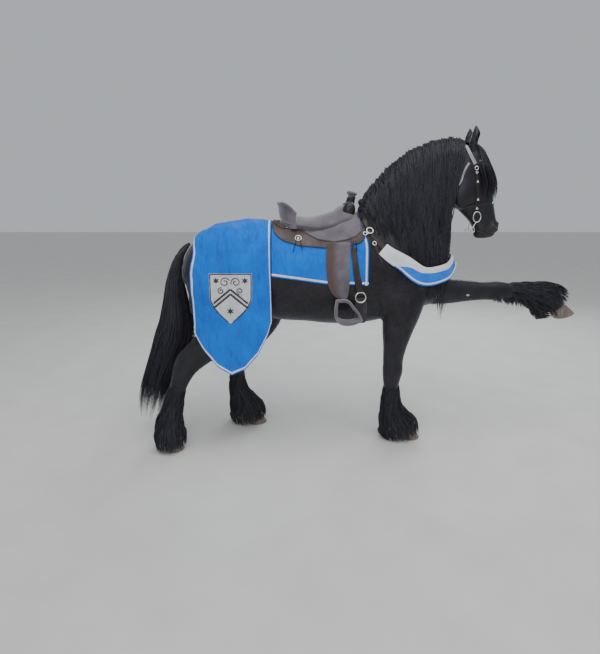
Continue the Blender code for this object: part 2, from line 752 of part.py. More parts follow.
def sheet(grid, thickness, tree, normals=None, closed=False, depth=0.0):
    """A closed sheet on a grid of points, raised where it has to be to clear the surface under it.

    With a depth, it is a thick block that reaches that far below the sheet."""
    rows, columns = len(grid), len(grid[0])
    if normals is None:
        normals = []
        for r in range(rows):
            for c in range(columns):
                down = grid[min(r + 1, rows - 1)][c] - grid[max(r - 1, 0)][c]
                along_row = grid[r][min(c + 1, columns - 1)] - grid[r][max(c - 1, 0)]
                normals.append(down.cross(along_row).normalized())
        points = [p for row in grid for p in row]
        outwards = sum(n.dot(Vector((0, p.y, p.z - AXIS_Z))) for n, p in zip(normals, points))
        if outwards < 0:
            normals = [-n for n in normals]
    points = [p for row in grid for p in row]
    triangles = []
    for r in range(rows if closed else rows - 1):
        for c in range(columns - 1):
            a, d = r * columns + c, (r + 1) % rows * columns + c
            triangles.extend([(a, a + 1, d + 1), (a, d + 1, d)])
    lift = lifted(points, normals, triangles, tree)
    inner = [p + n * (h - depth) for p, n, h in zip(points, normals, lift)]
    outer = [p + n * (thickness + depth) for p, n in zip(inner, normals)]
    n = rows * columns
    faces = triangles + [(n + c, n + b, n + a) for a, b, c in triangles]
    last = columns - 1
    if closed:
        edges = [(r * columns + c, (r + 1) % rows * columns + c) for c in (0, last) for r in range(rows)]
    else:
        rim = list(range(columns)) + [r * columns + last for r in range(1, rows)]
        rim += [(rows - 1) * columns + c for c in reversed(range(last))]
        rim += [r * columns for r in reversed(range(1, rows - 1))]
        edges = list(zip(rim, rim[1:] + rim[:1]))
    faces += [(a, n + a, n + b, b) for a, b in edges]
    return mesh_from(outer + inner, faces)


def strap(stations, thickness, tree, rings, closed=False, ease=1):
    """A flat strap on a surface, through stations of x, y, z near it, its width and how far it stands off."""
    rows = smooth_rows(list(stations) + ([stations[0]] if closed else []), rings + closed)
    n = rings
    nearby = [tree.find_nearest(Vector(row[:3]))[:2] for row in rows[:n]]
    middles = [near + normal * row[4] for (near, normal), row in zip(nearby, rows)]
    normals = [normal for _, normal in nearby]
    after = [(k + 1) % n if closed else min(k + 1, n - 1) for k in range(n)]
    before = [(k - 1) % n if closed else max(k - 1, 0) for k in range(n)]
    for _ in range(2 * ease):
        normals = [normals[before[k]] + normals[k] * 2 + normals[after[k]] for k in range(n)]
        normals = [normal.normalized() for normal in normals]
    for _ in range(ease - 1):
        middles = [(middles[before[k]] + middles[k] * 2 + middles[after[k]]) / 4 for k in range(n)]
    grid = []
    for k in range(n):
        tangent = (middles[after[k]] - middles[before[k]]).normalized()
        across = tangent.cross(normals[k]).normalized() * rows[k][3] / 2
        grid.append([middles[k] - across, middles[k] + across])
    return sheet(grid, thickness, tree, [m for m in normals for _ in range(2)], closed)


def mirrored(stations):
    """A path from the right over the middle plane to the left, from the half that ends in the middle."""
    back = [(r[0], -r[1], *r[2:]) for r in reversed(stations[:-1])]
    return list(stations) + back


def loop_of(centre, radii, thick, sides, section):
    """An oval ring that lies in the XZ plane."""
    points, faces = [], []
    for k in range(sides):
        turn = 2 * math.pi * k / sides
        out = Vector((math.cos(turn), 0, math.sin(turn)))
        middle = Vector(centre) + Vector((radii[0] * out.x, 0, radii[1] * out.z))
        for j in range(section):
            bend = 2 * math.pi * j / section
            points.append(middle + out * thick * math.cos(bend) + Vector((0, thick * math.sin(bend), 0)))
    for k in range(sides):
        a, b = k * section, (k + 1) % sides * section
        for j in range(section):
            i = (j + 1) % section
            faces.append((a + j, b + j, b + i, a + i))
    return mesh_from(points, faces)


def cloths(torso, thighs):
    """The caparison on the croup, and the cloth under the saddle."""
    tree = tree_of(torso, *thighs)
    rear = (
        (1.523, -0.640), (1.436, -0.680), (1.298, -0.686), (1.209, -0.706), (1.087, -0.700), (0.839, -0.683),
    )
    front = ((1.578, -0.192), (1.486, -0.188), (1.216, -0.184), (0.938, -0.180))
    low = (
        (-0.700, 0.900), (-0.683, 0.839), (-0.616, 0.725), (-0.535, 0.624), (-0.445, 0.556),
        (-0.359, 0.597), (-0.273, 0.691), (-0.206, 0.825), (-0.173, 0.938),
    )
    grid = over_the_back(tree, rear, front, low, 8, 10)
    caparison = place("caparison", sheet(grid, CLOTH, tree), BLUE)
    rear = ((1.570, -0.186), (1.203, -0.178))
    front = (
        (1.655, 0.382), (1.600, 0.384), (1.534, 0.396), (1.433, 0.432), (1.390, 0.438), (1.145, 0.436),
    )
    low = ((-0.176, 1.203), (0.158, 1.158), (0.438, 1.145))
    grid = over_the_back(tree, rear, front, low, 7, 7)
    under = place("saddle_cloth", sheet(grid, CLOTH, tree), BLUE)
    seat(caparison, torso, *thighs)
    seat(under, torso, caparison)
    return caparison, under


def shields(caparison):
    """The silver patch on each side of the caparison."""
    levels = (
        (1.226, -0.575, -0.303), (1.150, -0.575, -0.304), (1.055, -0.574, -0.306),
        (1.000, -0.545, -0.335), (0.950, -0.500, -0.385), (0.905, -0.447, -0.439),
    )
    tree = tree_of(caparison)
    for word, side in SIDES:
        grid = side_grid(tree, levels, side, 4)
        place("shield_patch_" + word, sheet(grid, PATCH, tree), SILVER_CLOTH)


def saddle(torso, under, caparison):
    """The western saddle: skirt, seat with its cantle and swell, horn, fenders and stirrups."""
    rear = ((1.60, -0.215), (1.40, -0.215))
    front = ((1.70, 0.378), (1.600, 0.378), (1.534, 0.390), (1.433, 0.425), (1.380, 0.430))
    low = (
        (-0.219, 1.540), (-0.190, 1.500), (-0.150, 1.475), (-0.106, 1.461), (0.000, 1.417),
        (0.156, 1.386), (0.300, 1.388), (0.380, 1.410), (0.425, 1.450), (0.440, 1.490),
    )
    tree = tree_of(torso, under, caparison)
    grid = over_the_back(tree, rear, front, low, 7, 4)
    skirt = place("saddle_skirt", sheet(grid, LEATHER, tree), BROWN)
    seat(skirt, torso, under, caparison)
    stations = (
        (-0.165, 0, 1.620, 0.036, 0.030, 0.120),
        (-0.140, 0, 1.600, 0.062, 0.070, 0.170),
        (-0.095, 0, 1.580, 0.092, 0.080, 0.195),
        (-0.050, 0, 1.560, 0.070, 0.080, 0.190),
        (0.010, 0, 1.540, 0.048, 0.080, 0.178),
        (0.110, 0, 1.520, 0.044, 0.080, 0.155),
        (0.200, 0, 1.530, 0.058, 0.080, 0.145),
        (0.265, 0, 1.550, 0.070, 0.080, 0.150),
        (0.312, 0, 1.570, 0.088, 0.080, 0.168),
        (0.350, 0, 1.570, 0.080, 0.060, 0.140),
        (0.375, 0, 1.570, 0.040, 0.030, 0.090),
    )
    tree_top = place("saddle_seat", tube(stations, 14, 12, 2.4), SUEDE)
    combine(tree_top, [sheet(grid, LEATHER + SWELL, tree, depth=SEAT_DEPTH)], "DIFFERENCE")
    largest_only(tree_top)
    seat(tree_top, skirt, under, caparison, torso)
    neck_stations = (
        (0.325, 0, 1.630, 0.030, 0.030, 0.030),
        (0.340, 0, 1.690, 0.022, 0.022, 0.022),
        (0.350, 0, 1.722, 0.026, 0.026, 0.028),
        (0.353, 0, 1.736, 0.040, 0.038, 0.042),
        (0.356, 0, 1.748, 0.030, 0.030, 0.030),
    )
    horn = place("saddle_horn", tube(neck_stations, 10, 12, 2.0), BLACK)
    seat(horn, tree_top)
    fender_levels = (
        (1.430, 0.172, 0.318), (1.360, 0.165, 0.316), (1.280, 0.163, 0.314), (1.200, 0.168, 0.314),
        (1.140, 0.180, 0.312), (1.095, 0.205, 0.306), (1.066, 0.240, 0.298),
    )
    loop_path = (
        (0.236, 1.062), (0.296, 1.062), (0.340, 1.015), (0.378, 0.965),
        (0.380, 0.935), (0.352, 0.918), (0.262, 0.918), (0.240, 0.935), (0.232, 0.985),
    )
    for word, side in SIDES:
        layers = tree_of(torso, under, skirt, tree_top)
        grid = side_grid(layers, fender_levels, side, 3)
        fender = place("fender_" + word, sheet(grid, LEATHER, layers), SUEDE)
        seat(fender, under, skirt)
        reach = max(side_reach(tree_of(torso, under), x, z, side) or 0.0 for x, z in loop_path)
        stirrup(word, side, reach + 0.002, loop_path)
    return skirt, tree_top


def stirrup(word, side, y, path):
    """A stirrup whose inner side is y from the middle plane: narrow sides, and a broad tread below."""
    points, faces, n = [], [], len(path)
    middle = Vector((sum(p[0] for p in path) / n, sum(p[1] for p in path) / n))
    for x, z in path:
        out = (Vector((x, z)) - middle).normalized()
        tread = 1.0 if z < 0.95 else 0.0
        wide, thick = 0.018 + 0.016 * tread, 0.010 + 0.006 * tread
        for across, grow in ((-1, 0), (1, 0), (1, 1), (-1, 1)):
            edge = Vector((x, z)) + out * thick * grow
            points.append(Vector((edge.x, side * (y + wide * (1 + across)), edge.y)))
    for k in range(n):
        a, b = 4 * k, 4 * ((k + 1) % n)
        for j in range(4):
            faces.append((a + j, b + j, b + (j + 1) % 4, a + (j + 1) % 4))
    body = place("stirrup_" + word, mesh_from(points, faces), SUEDE)
    top = max(v.co.z for v in body.data.vertices)
    floor = min(v.co.z for v in bpy.data.objects["fender_" + word].data.vertices)
    for v in body.data.vertices:
        v.co.z += floor - GAP - top


def girth_and_collar(torso, neck, legs, under, skirt, fenders):
    """The latigos, rings and girth that hold the saddle, and the banner that hangs across the breast."""
    trunk = tree_of(torso, neck, *legs)
    latigo_levels = (
        (1.350, 0.324, 0.360), (1.240, 0.334, 0.376), (1.170, 0.345, 0.392), (1.108, 0.362, 0.406),
    )
    rings = []
    for word, side in SIDES:
        layers = tree_of(torso, under, skirt, fenders[word])
        grid = side_grid(layers, latigo_levels, side, 2)
        latigo = place("latigo_" + word, sheet(grid, LEATHER, layers), BROWN)
        seat(latigo, under, skirt)
        reach = side_reach(layers, 0.388, 1.068, side)
        shape = loop_of((0.388, side * (reach + 0.009), 1.068), (0.033, 0.033), 0.006, 14, 5)
        cinch = place("cinch_ring_" + word, shape, SILVER)
        seat(cinch, torso, under, latigo)
        rings.append(cinch)
    half = (
        (0.392, -0.300, 1.060, 0.050, 0.000), (0.398, -0.297, 1.010, 0.070, 0.001),
        (0.402, -0.285, 0.950, 0.075, 0.001), (0.405, -0.235, 0.890, 0.075, 0.001),
        (0.406, -0.120, 0.855, 0.075, 0.001), (0.406, 0.000, 0.845, 0.075, 0.001),
    )
    girth = place("girth", strap(mirrored(half), 0.010, tree_of(torso), 22), MOHAIR)
    seat(girth, torso, *rings)
    half = (
        (0.405, 0.000, 1.665, 0.035, 0.001), (0.412, -0.103, 1.610, 0.035, 0.002),
        (0.430, -0.165, 1.534, 0.035, 0.003), (0.469, -0.206, 1.433, 0.050, 0.004),
        (0.545, -0.242, 1.374, 0.070, 0.006), (0.669, -0.242, 1.281, 0.105, 0.014),
        (0.783, -0.221, 1.199, 0.120, 0.022), (0.900, -0.175, 1.209, 0.110, 0.026),
        (0.988, -0.093, 1.261, 0.075, 0.026), (1.029, 0.000, 1.282, 0.060, 0.022),
    )
    around = mirrored(half)[:-1]
    banner = place("breast_banner", strap(around, 0.008, trunk, 28, closed=True, ease=4), BLUE)
    seat(banner, torso, neck, *legs)
    return banner, girth


def headgear(head, neck, ears):
    """The bridle without its reins: headstall, browband, noseband, throatlatch and the bit's cheeks."""
    tree = tree_of(head, neck, *ears)
    half = (
        (1.183, -0.060, 1.618, 0.018, 0.0), (1.183, -0.075, 1.690, 0.020, 0.0),
        (1.170, -0.090, 1.798, 0.020, 0.0), (1.150, -0.095, 1.890, 0.022, 0.0),
        (1.116, -0.080, 1.970, 0.024, 0.0), (1.088, -0.045, 2.045, 0.024, 0.0),
        (1.080, 0.000, 2.075, 0.024, 0.0),
    )
    headstall = place("headstall", strap(mirrored(half), STRAP, tree, 22), BLACK)
    half = (
        (1.166, -0.095, 1.930, 0.020, 0.0), (1.205, -0.080, 1.942, 0.020, 0.0),
        (1.240, -0.050, 1.950, 0.020, 0.0), (1.255, 0.000, 1.952, 0.020, 0.0),
    )
    browband = place("browband", strap(mirrored(half), STRAP, tree, 10), BLACK)
    seat(browband, headstall)
    half = (
        (1.320, 0.000, 1.672, 0.020, 0.0), (1.297, -0.045, 1.668, 0.020, 0.0),
        (1.240, -0.065, 1.660, 0.020, 0.001), (1.183, -0.064, 1.652, 0.020, 0.006),
        (1.120, -0.055, 1.644, 0.020, 0.001), (1.070, -0.025, 1.638, 0.020, 0.0),
        (1.062, 0.000, 1.637, 0.020, 0.0),
    )
    noseband = place("noseband", strap(mirrored(half)[:-1], STRAP, tree, 16, closed=True), BLACK)
    seat(noseband, headstall)
    half = (
        (1.106, -0.080, 1.925, 0.014, 0.0), (1.075, -0.090, 1.870, 0.014, 0.0),
        (1.058, -0.085, 1.810, 0.014, 0.0), (1.040, -0.050, 1.760, 0.014, 0.0),
        (1.030, 0.000, 1.740, 0.014, 0.0),
    )
    throatlatch = place("throatlatch", strap(mirrored(half), STRAP, tree, 11), BLACK)
    seat(throatlatch, headstall)
    bits = []
    for word, side in SIDES:
        reach = max(side_reach(tree, x, 1.590, side) for x in (1.183, 1.195, 1.172))
        y = side * (reach + 0.004)
        bit = place("bit_" + word, loop_of((1.183, y, 1.588), (0.021, 0.028), 0.004, 12, 4), SILVER)
        low = loop_of((1.166, y, 1.506), (0.011, 0.011), 0.0035, 8, 4)
        shank = slab((1.175, y, 1.540), (0.007, 0.006, 0.052), 12)
        combine(bit, [low, shank], "UNION", "EXACT")
        seat(bit, headstall, head)
        bits.append(bit)
    seat(headstall, head, neck, *ears)
    seat(browband, head)
    seat(noseband, head)
    seat(neck, throatlatch, by=IMPRINT)
    seat(throatlatch, head, neck)
    return [headstall, browband, noseband, throatlatch, *bits]


# Hair: solid locks, each flat and tapered, fused where they overlap

LOCK_RINGS = 6
LOCK_SHAPE = ((0.0, 0.45), (0.35, 1.0), (0.6, 0.92), (0.85, 0.55), (1.0, 0.30))
LOCK_THICKNESS = 0.016
chance = random.Random(SEED)


def jitter(reach):
    return chance.uniform(-reach, reach)


def lock(path, width, out, thickness=LOCK_THICKNESS):
    """A flat lock along a path, widest a third of the way down, whose face looks the way of out."""
    rows = smooth_rows(path, LOCK_RINGS + 1)[:, :3]
    tangent = np.gradient(rows, axis=0)
    tangent /= np.linalg.norm(tangent, axis=1)[:, None]
    across = np.cross(tangent, np.array(out, float))
    across /= np.linalg.norm(across, axis=1)[:, None]
    face_way = np.cross(across, tangent)
    points, faces = [], []
    for r in range(LOCK_RINGS):
        t = r / LOCK_RINGS
        half = along(LOCK_SHAPE, t) * width / 2
        deep = thickness / 2 * (1 - 0.5 * t)
        for side, front in ((-1, -0.3), (0, 1), (1, -0.3), (0, -1)):
            points.append(rows[r] + across[r] * half * side + face_way[r] * deep * front)
    points.append(rows[-1])
    for r in range(LOCK_RINGS - 1):
        for k in range(4):
            a, b = 4 * r + k, 4 * r + (k + 1) % 4
            faces.append((a, b, b + 4, a + 4))
    tip, last = len(points) - 1, 4 * (LOCK_RINGS - 1)
    faces += [(last + k, last + (k + 1) % 4, tip) for k in range(4)]
    faces.append((3, 2, 1, 0))
    return mesh_from(points, faces)


def fused(meshes):
    """One closed mesh from overlapping ones."""
    body = place("fused", meshes[0], COAT, helpers)
    combine(body, meshes[1:], "UNION")
    largest_only(body)
    thin = body.modifiers.new("Thin", "DECIMATE")
    thin.ratio = HAIR_KEPT
    apply_modifiers(body)
    mesh = body.data
    bpy.data.objects.remove(body)
    return mesh


def grow(body, hair, *neighbours):
    """Joins hair to the flesh that it grows from, once it is trimmed to clear its neighbours."""
    loose = place("hair", hair, COAT, helpers)
    combine(loose, room_for(neighbours, IMPRINT), "DIFFERENCE")
    combine(body, [loose.data.copy()], "UNION")
    bpy.data.objects.remove(loose)
    largest_only(body)


CREST = (
    (0.420, 1.668), (0.488, 1.770), (0.606, 1.902), (0.736, 2.000), (0.868, 2.058), (1.000, 2.084),
    (1.070, 2.070),
)
MANE_ENDS = (
    (0.420, 1.560), (0.500, 1.470), (0.600, 1.390), (0.700, 1.330), (0.780, 1.230), (0.860, 1.080),
    (0.930, 1.000), (0.975, 1.090),
)
MANE_FRONT = 0.968      # no lock hangs farther forward than this
# Each layer: how far it stands off, its locks, their share of the full length, and their width
MANE_LAYERS = ((0.002, 11, 1.0, 0.092), (0.010, 10, 0.82, 0.070))


def mane(tree):
    """Locks that rise from the crest, fall over the right of the neck and end one beside the other."""
    locks = []
    for layer, count, length, width in MANE_LAYERS:
        for k in range(count):
            x = 0.445 + (1.055 - 0.445) * (k + 0.5 + jitter(0.2)) / count
            end = min(x - 0.01, MANE_FRONT) + jitter(0.02)
            top = along(CREST, x) - 0.012
            low = top - (top - along(MANE_ENDS, end)) * length + jitter(0.05)
            path, reach = [(x, 0.020, top - 0.02), (x, -0.012, top + 0.006)], 0.0
            for t in (0.12, 0.3, 0.5, 0.75, 1.0):
                here = x + (end - x) * min(1.0, 1.5 * t) + jitter(0.010)
                z = top + (low - top) * t
                reach = max(reach, side_reach(tree, here, z, RIGHT) or 0.0)
                path.append((here, -reach - layer, z))
            locks.append(lock(path, width + jitter(0.008), (0, -1, 0.15)))
    return fused(locks)


FORELOCKS = 7
FORELOCK_FRONT = (
    (2.075, 1.105), (2.055, 1.165), (2.020, 1.222), (1.922, 1.274), (1.791, 1.318), (1.690, 1.322),
)


def forelock():
    """Locks from the poll over the brow and down the face."""
    core = (
        (1.110, 0, 2.066, 0.012, 0.030, 0.030), (1.152, 0, 2.050, 0.018, 0.035, 0.042),
        (1.212, 0, 1.992, 0.020, 0.050, 0.058), (1.246, 0, 1.920, 0.018, 0.055, 0.060),
        (1.268, 0, 1.850, 0.010, 0.040, 0.040),
    )
    locks = [tube(core, 6, 10, 2.0)]
    for k in range(FORELOCKS):
        side = -0.062 + 0.124 * (k + 0.5) / FORELOCKS + jitter(0.004)
        low = 1.690 + abs(side) * 1.2 + jitter(0.02)
        path = [(1.100, side * 0.4, 2.062)]
        for z in (2.050, 2.000, 1.920, 1.830, low):
            x = along(FORELOCK_FRONT, z) - 0.004 - 6.5 * side * side + jitter(0.004)
            path.append((x, side * (1.1 - 0.5 * (2.05 - z) / 0.36), z))
        locks.append(lock(path, 0.052, (1, side * 6, 0.3), 0.018))
    return fused(locks)


TAIL = (
    (-0.736, 0, 1.410, 0.030, 0.030, 0.030), (-0.797, 0, 1.369, 0.035, 0.045, 0.045),
    (-0.859, 0, 1.261, 0.050, 0.055, 0.060), (-0.890, 0, 1.137, 0.060, 0.060, 0.080),
    (-0.900, 0, 0.983, 0.075, 0.075, 0.100), (-0.911, 0, 0.828, 0.090, 0.090, 0.115),
    (-0.957, 0, 0.633, 0.095, 0.095, 0.120), (-1.014, 0, 0.468, 0.090, 0.090, 0.115),
    (-1.060, 0, 0.314, 0.085, 0.100, 0.100), (-1.090, 0, 0.201, 0.075, 0.085, 0.085),
    (-1.105, 0, 0.095, 0.060, 0.065, 0.060),
)
TAIL_LOCKS = 12


def between(rows, step):
    """Reads a table of rows at a step that may lie between two of them."""
    return np.array([np.interp(step, range(len(rows)), column) for column in rows.T])


def tail():
    """The dock and its skirt of long locks, down to the fetlocks."""
    rows = smooth_rows(TAIL, 25)
    _, front, side = frames_along(rows[:, :3])
    locks = [tube(TAIL[:6], 14, 12, 2.0)]
    for k in range(TAIL_LOCKS):
        turn = 2 * math.pi * (k + 0.5) / TAIL_LOCKS
        c, s = math.cos(turn), math.sin(turn)
        first, last = (2, 6)[k % 2], 24 - (0, 2, 1)[k % 3]
        path = []
        for step in np.linspace(first, last, 7):
            row, n, b = (between(part, step) for part in (rows, front, side))
            reach = row[3] if s >= 0 else row[4]
            inside = 0.55 if step == first else 0.86
            path.append(row[:3] + (n * s * reach + b * c * row[5]) * (inside + jitter(0.05)))
        out = front[12] * s + side[12] * c
        locks.append(lock(path, 0.085, out, 0.034))
    return fused(locks)


FEATHERS = {
    "fore_leg_right": (
        (0.645, -0.075, 0.350, 0.045, 0.050, 0.040), (0.656, -0.062, 0.230, 0.060, 0.080, 0.060),
        (0.690, -0.052, 0.140, 0.080, 0.110, 0.085), (0.722, -0.048, 0.085, 0.105, 0.135, 0.105),
        (0.724, -0.048, 0.022, 0.105, 0.140, 0.110),
    ),
    "fore_leg_left": (
        (1.700, 0.190, 1.042, 0.045, 0.045, 0.038), (1.780, 0.191, 1.030, 0.072, 0.070, 0.060),
        (1.850, 0.192, 0.980, 0.090, 0.110, 0.085), (1.885, 0.193, 0.925, 0.095, 0.120, 0.090),
        (1.902, 0.193, 0.870, 0.060, 0.080, 0.070),
    ),
    "hind_leg_right": (
        (-0.852, -0.204, 0.340, 0.045, 0.050, 0.038), (-0.884, -0.209, 0.230, 0.062, 0.085, 0.060),
        (-0.897, -0.216, 0.140, 0.080, 0.115, 0.085), (-0.895, -0.222, 0.085, 0.100, 0.125, 0.105),
        (-0.895, -0.224, 0.022, 0.100, 0.130, 0.110),
    ),
    "hind_leg_left": (
        (-0.468, 0.192, 0.340, 0.045, 0.050, 0.038), (-0.462, 0.194, 0.230, 0.060, 0.080, 0.060),
        (-0.430, 0.198, 0.140, 0.080, 0.115, 0.085), (-0.395, 0.199, 0.085, 0.105, 0.135, 0.105),
        (-0.393, 0.199, 0.022, 0.105, 0.140, 0.110),
    ),
}
FEATHER_LOCKS = 7


def feather(stations):
    """The bell of long hair round a fetlock: a short core and locks that spread from it over the hoof."""
    rows = smooth_rows(stations, 13)
    _, front, side = frames_along(rows[:, :3])
    locks = [tube(stations[:3], 5, 10, 2.0)]
    for k in range(FEATHER_LOCKS):
        turn = 2 * math.pi * (k + 0.5) / FEATHER_LOCKS + jitter(0.1)
        c, s = math.cos(turn), math.sin(turn)
        last = 12 - (0, 1)[k % 2] * 0.6
        path = []
        for step in np.linspace((0.5, 2.5)[k % 2], last, 5):
            row, n, b = (between(part, step) for part in (rows, front, side))
            reach = row[3] if s >= 0 else row[4]
            path.append(row[:3] + (n * s * reach + b * c * row[5]) * (0.84 + 0.16 * step / 12))
        out = front[6] * s + side[6] * c
        locks.append(lock(path, 0.096, out, 0.028))
    return fused(locks)


skin = flesh()
pieces = part_flesh(skin)
torso, neck, head = pieces["torso"], pieces["neck"], pieces["head"]
feet = {leg: hoof(leg + "_hoof", *where) for leg, where in HOOVES.items()}
face(head)
for word, side in SIDES:
    place("eye_" + word, blob((EYE_AT[0], EYE_AT[1] * side, EYE_AT[2]), (EYE_RADIUS,) * 3, segments=12), EYE)
ears = [ear("ear_" + word, side, head) for word, side in SIDES]
for piece in ears:
    seat(piece, neck)

thighs = [pieces["hind_leg_right_upper"], pieces["hind_leg_left_upper"]]
arms = [pieces["fore_leg_right_upper"], pieces["fore_leg_left_upper"]]
caparison, under = cloths(torso, thighs)
shields(caparison)
skirt, seat_body = saddle(torso, under, caparison)
fenders = {word: bpy.data.objects["fender_" + word] for word, _ in SIDES}
banner, girth = girth_and_collar(torso, neck, arms, under, skirt, fenders)
tack = headgear(head, neck, ears)

grow(neck, mane(tree_of(torso, neck, head)), torso, head, banner, under, skirt, seat_body, *tack, *ears)
grow(head, forelock(), neck, *tack, *ears)
clear(neck, torso, banner)
clear(bpy.data.objects["throatlatch"], neck)

clear(skirt, torso, under)
brush = place("tail", tail(), COAT)
seat(brush, torso, caparison, *thighs, pieces["hind_leg_right_lower"], feet["hind_leg_right"])
for leg, stations in FEATHERS.items():
    grow(pieces[leg + "_lower"], feather(stations), feet[leg], brush)


def settle():
    """Smooth shading, and the origin moved to the middle of the base."""
    bodies = list(model.objects)
    points = np.array([v.co[:] for body in bodies for v in body.data.vertices])
    low, high = points.min(axis=0), points.max(axis=0)
    shift = Vector((-(low[0] + high[0]) / 2, -(low[1] + high[1]) / 2, -low[2]))
    for body in bodies:
        body.data.transform(Matrix.Translation(shift))
        body.data.shade_smooth()
        body.data.set_sharp_from_angle(angle=math.radians(40))
    print("moved by", [round(v, 4) for v in shift], "size", [round(float(v), 3) for v in high - low])
    print("triangles", {b.name: sum(len(f.vertices) - 2 for f in b.data.polygons) for b in bodies})


settle()
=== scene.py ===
# %% [markdown]
# # A Friesian in show dress, life size
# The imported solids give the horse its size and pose. This lesson dresses them: one
# smooth skin with short fur, long hair in strands, cloths with piping, a western
# saddle and a bridle. Every piece is drawn in the same coordinates as the solids
# were, and moved onto them as the last step of making it.

import json
import math

import bmesh
import bpy
import numpy as np
from mathutils import Matrix, Vector, noise
from mathutils.bvhtree import BVHTree
from mathutils.kdtree import KDTree

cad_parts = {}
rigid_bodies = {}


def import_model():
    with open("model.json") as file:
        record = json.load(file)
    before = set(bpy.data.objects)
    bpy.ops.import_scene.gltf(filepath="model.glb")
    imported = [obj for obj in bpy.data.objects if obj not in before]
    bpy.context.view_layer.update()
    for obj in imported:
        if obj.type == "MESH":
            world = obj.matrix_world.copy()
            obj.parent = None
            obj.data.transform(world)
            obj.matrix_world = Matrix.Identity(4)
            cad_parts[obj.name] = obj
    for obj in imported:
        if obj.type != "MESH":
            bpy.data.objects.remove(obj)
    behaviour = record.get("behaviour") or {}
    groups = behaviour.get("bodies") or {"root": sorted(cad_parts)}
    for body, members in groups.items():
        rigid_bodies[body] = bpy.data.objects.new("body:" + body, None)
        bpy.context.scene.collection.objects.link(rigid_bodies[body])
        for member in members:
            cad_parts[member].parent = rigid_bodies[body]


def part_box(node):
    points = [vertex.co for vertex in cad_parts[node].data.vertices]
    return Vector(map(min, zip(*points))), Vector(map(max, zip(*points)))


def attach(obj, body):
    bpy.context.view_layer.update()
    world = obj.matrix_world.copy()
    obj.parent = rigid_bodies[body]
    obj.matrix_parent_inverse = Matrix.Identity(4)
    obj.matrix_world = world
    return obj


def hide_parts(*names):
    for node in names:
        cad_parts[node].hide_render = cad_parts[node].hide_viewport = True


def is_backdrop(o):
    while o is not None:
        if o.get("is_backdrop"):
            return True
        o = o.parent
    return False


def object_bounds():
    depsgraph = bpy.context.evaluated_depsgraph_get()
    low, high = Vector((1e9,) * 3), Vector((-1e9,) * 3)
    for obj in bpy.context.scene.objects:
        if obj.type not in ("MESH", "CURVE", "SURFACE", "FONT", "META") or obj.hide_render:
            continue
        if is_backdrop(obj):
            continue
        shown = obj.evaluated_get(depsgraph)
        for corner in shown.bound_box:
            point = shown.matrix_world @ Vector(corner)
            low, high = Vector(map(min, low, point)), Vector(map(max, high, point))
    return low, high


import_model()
solid_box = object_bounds()
scene = bpy.context.scene
print("solids", [round(v, 3) for v in (*solid_box[0], *solid_box[1])])

# %% [markdown]
# The tables below are drawn with X = 0 straight under the camera. The right forefoot
# tells how far the solids were moved after they were drawn, so nothing is measured twice.

# %% Where the drawing lies in the frame
DRAWN_TOE_X = 0.864
DRAWN_SIDE_Y = -0.116
foot_low, foot_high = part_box("fore_leg_right_hoof")
SHIFT = Vector((foot_high.x - DRAWN_TOE_X, foot_low.y - DRAWN_SIDE_Y, 0.0))
RIGHT, LEFT = -1, 1
SIDES = (("right", RIGHT), ("left", LEFT))
WORDS = {RIGHT: "right", LEFT: "left"}
print("shift", [round(v, 4) for v in SHIFT])

# %% [markdown]
# The camera stands where the photographer stood: 3.1 m from the horse's middle plane,
# at chest height, looking slightly down. Its lens gives the same perspective.

# %% Camera
PHOTO_HEIGHT = 654
FOCAL_PIXELS = 453
AXIS_ABOVE_MIDDLE = 40
CAMERA_AT = Vector((0.0, -3.138, 1.59))
CAMERA_DOWN = 9.03
eye_piece = bpy.data.cameras.new("camera")
eye_piece.sensor_width = 36
eye_piece.lens = FOCAL_PIXELS / PHOTO_HEIGHT * eye_piece.sensor_width
eye_piece.shift_y = -AXIS_ABOVE_MIDDLE / PHOTO_HEIGHT
eye_piece.clip_end = 200
camera = bpy.data.objects.new("camera", eye_piece)
camera.location = CAMERA_AT + SHIFT
camera.rotation_euler = (math.radians(90 - CAMERA_DOWN), 0, 0)
scene.collection.objects.link(camera)
scene.camera = camera
print("lens", round(eye_piece.lens, 2), "mm")

# %% [markdown]
# A black coat only shows its form by what it mirrors, so the light is broad: one
# large panel overhead, one from the camera's side, and one behind for the outline.

# %% Material helper


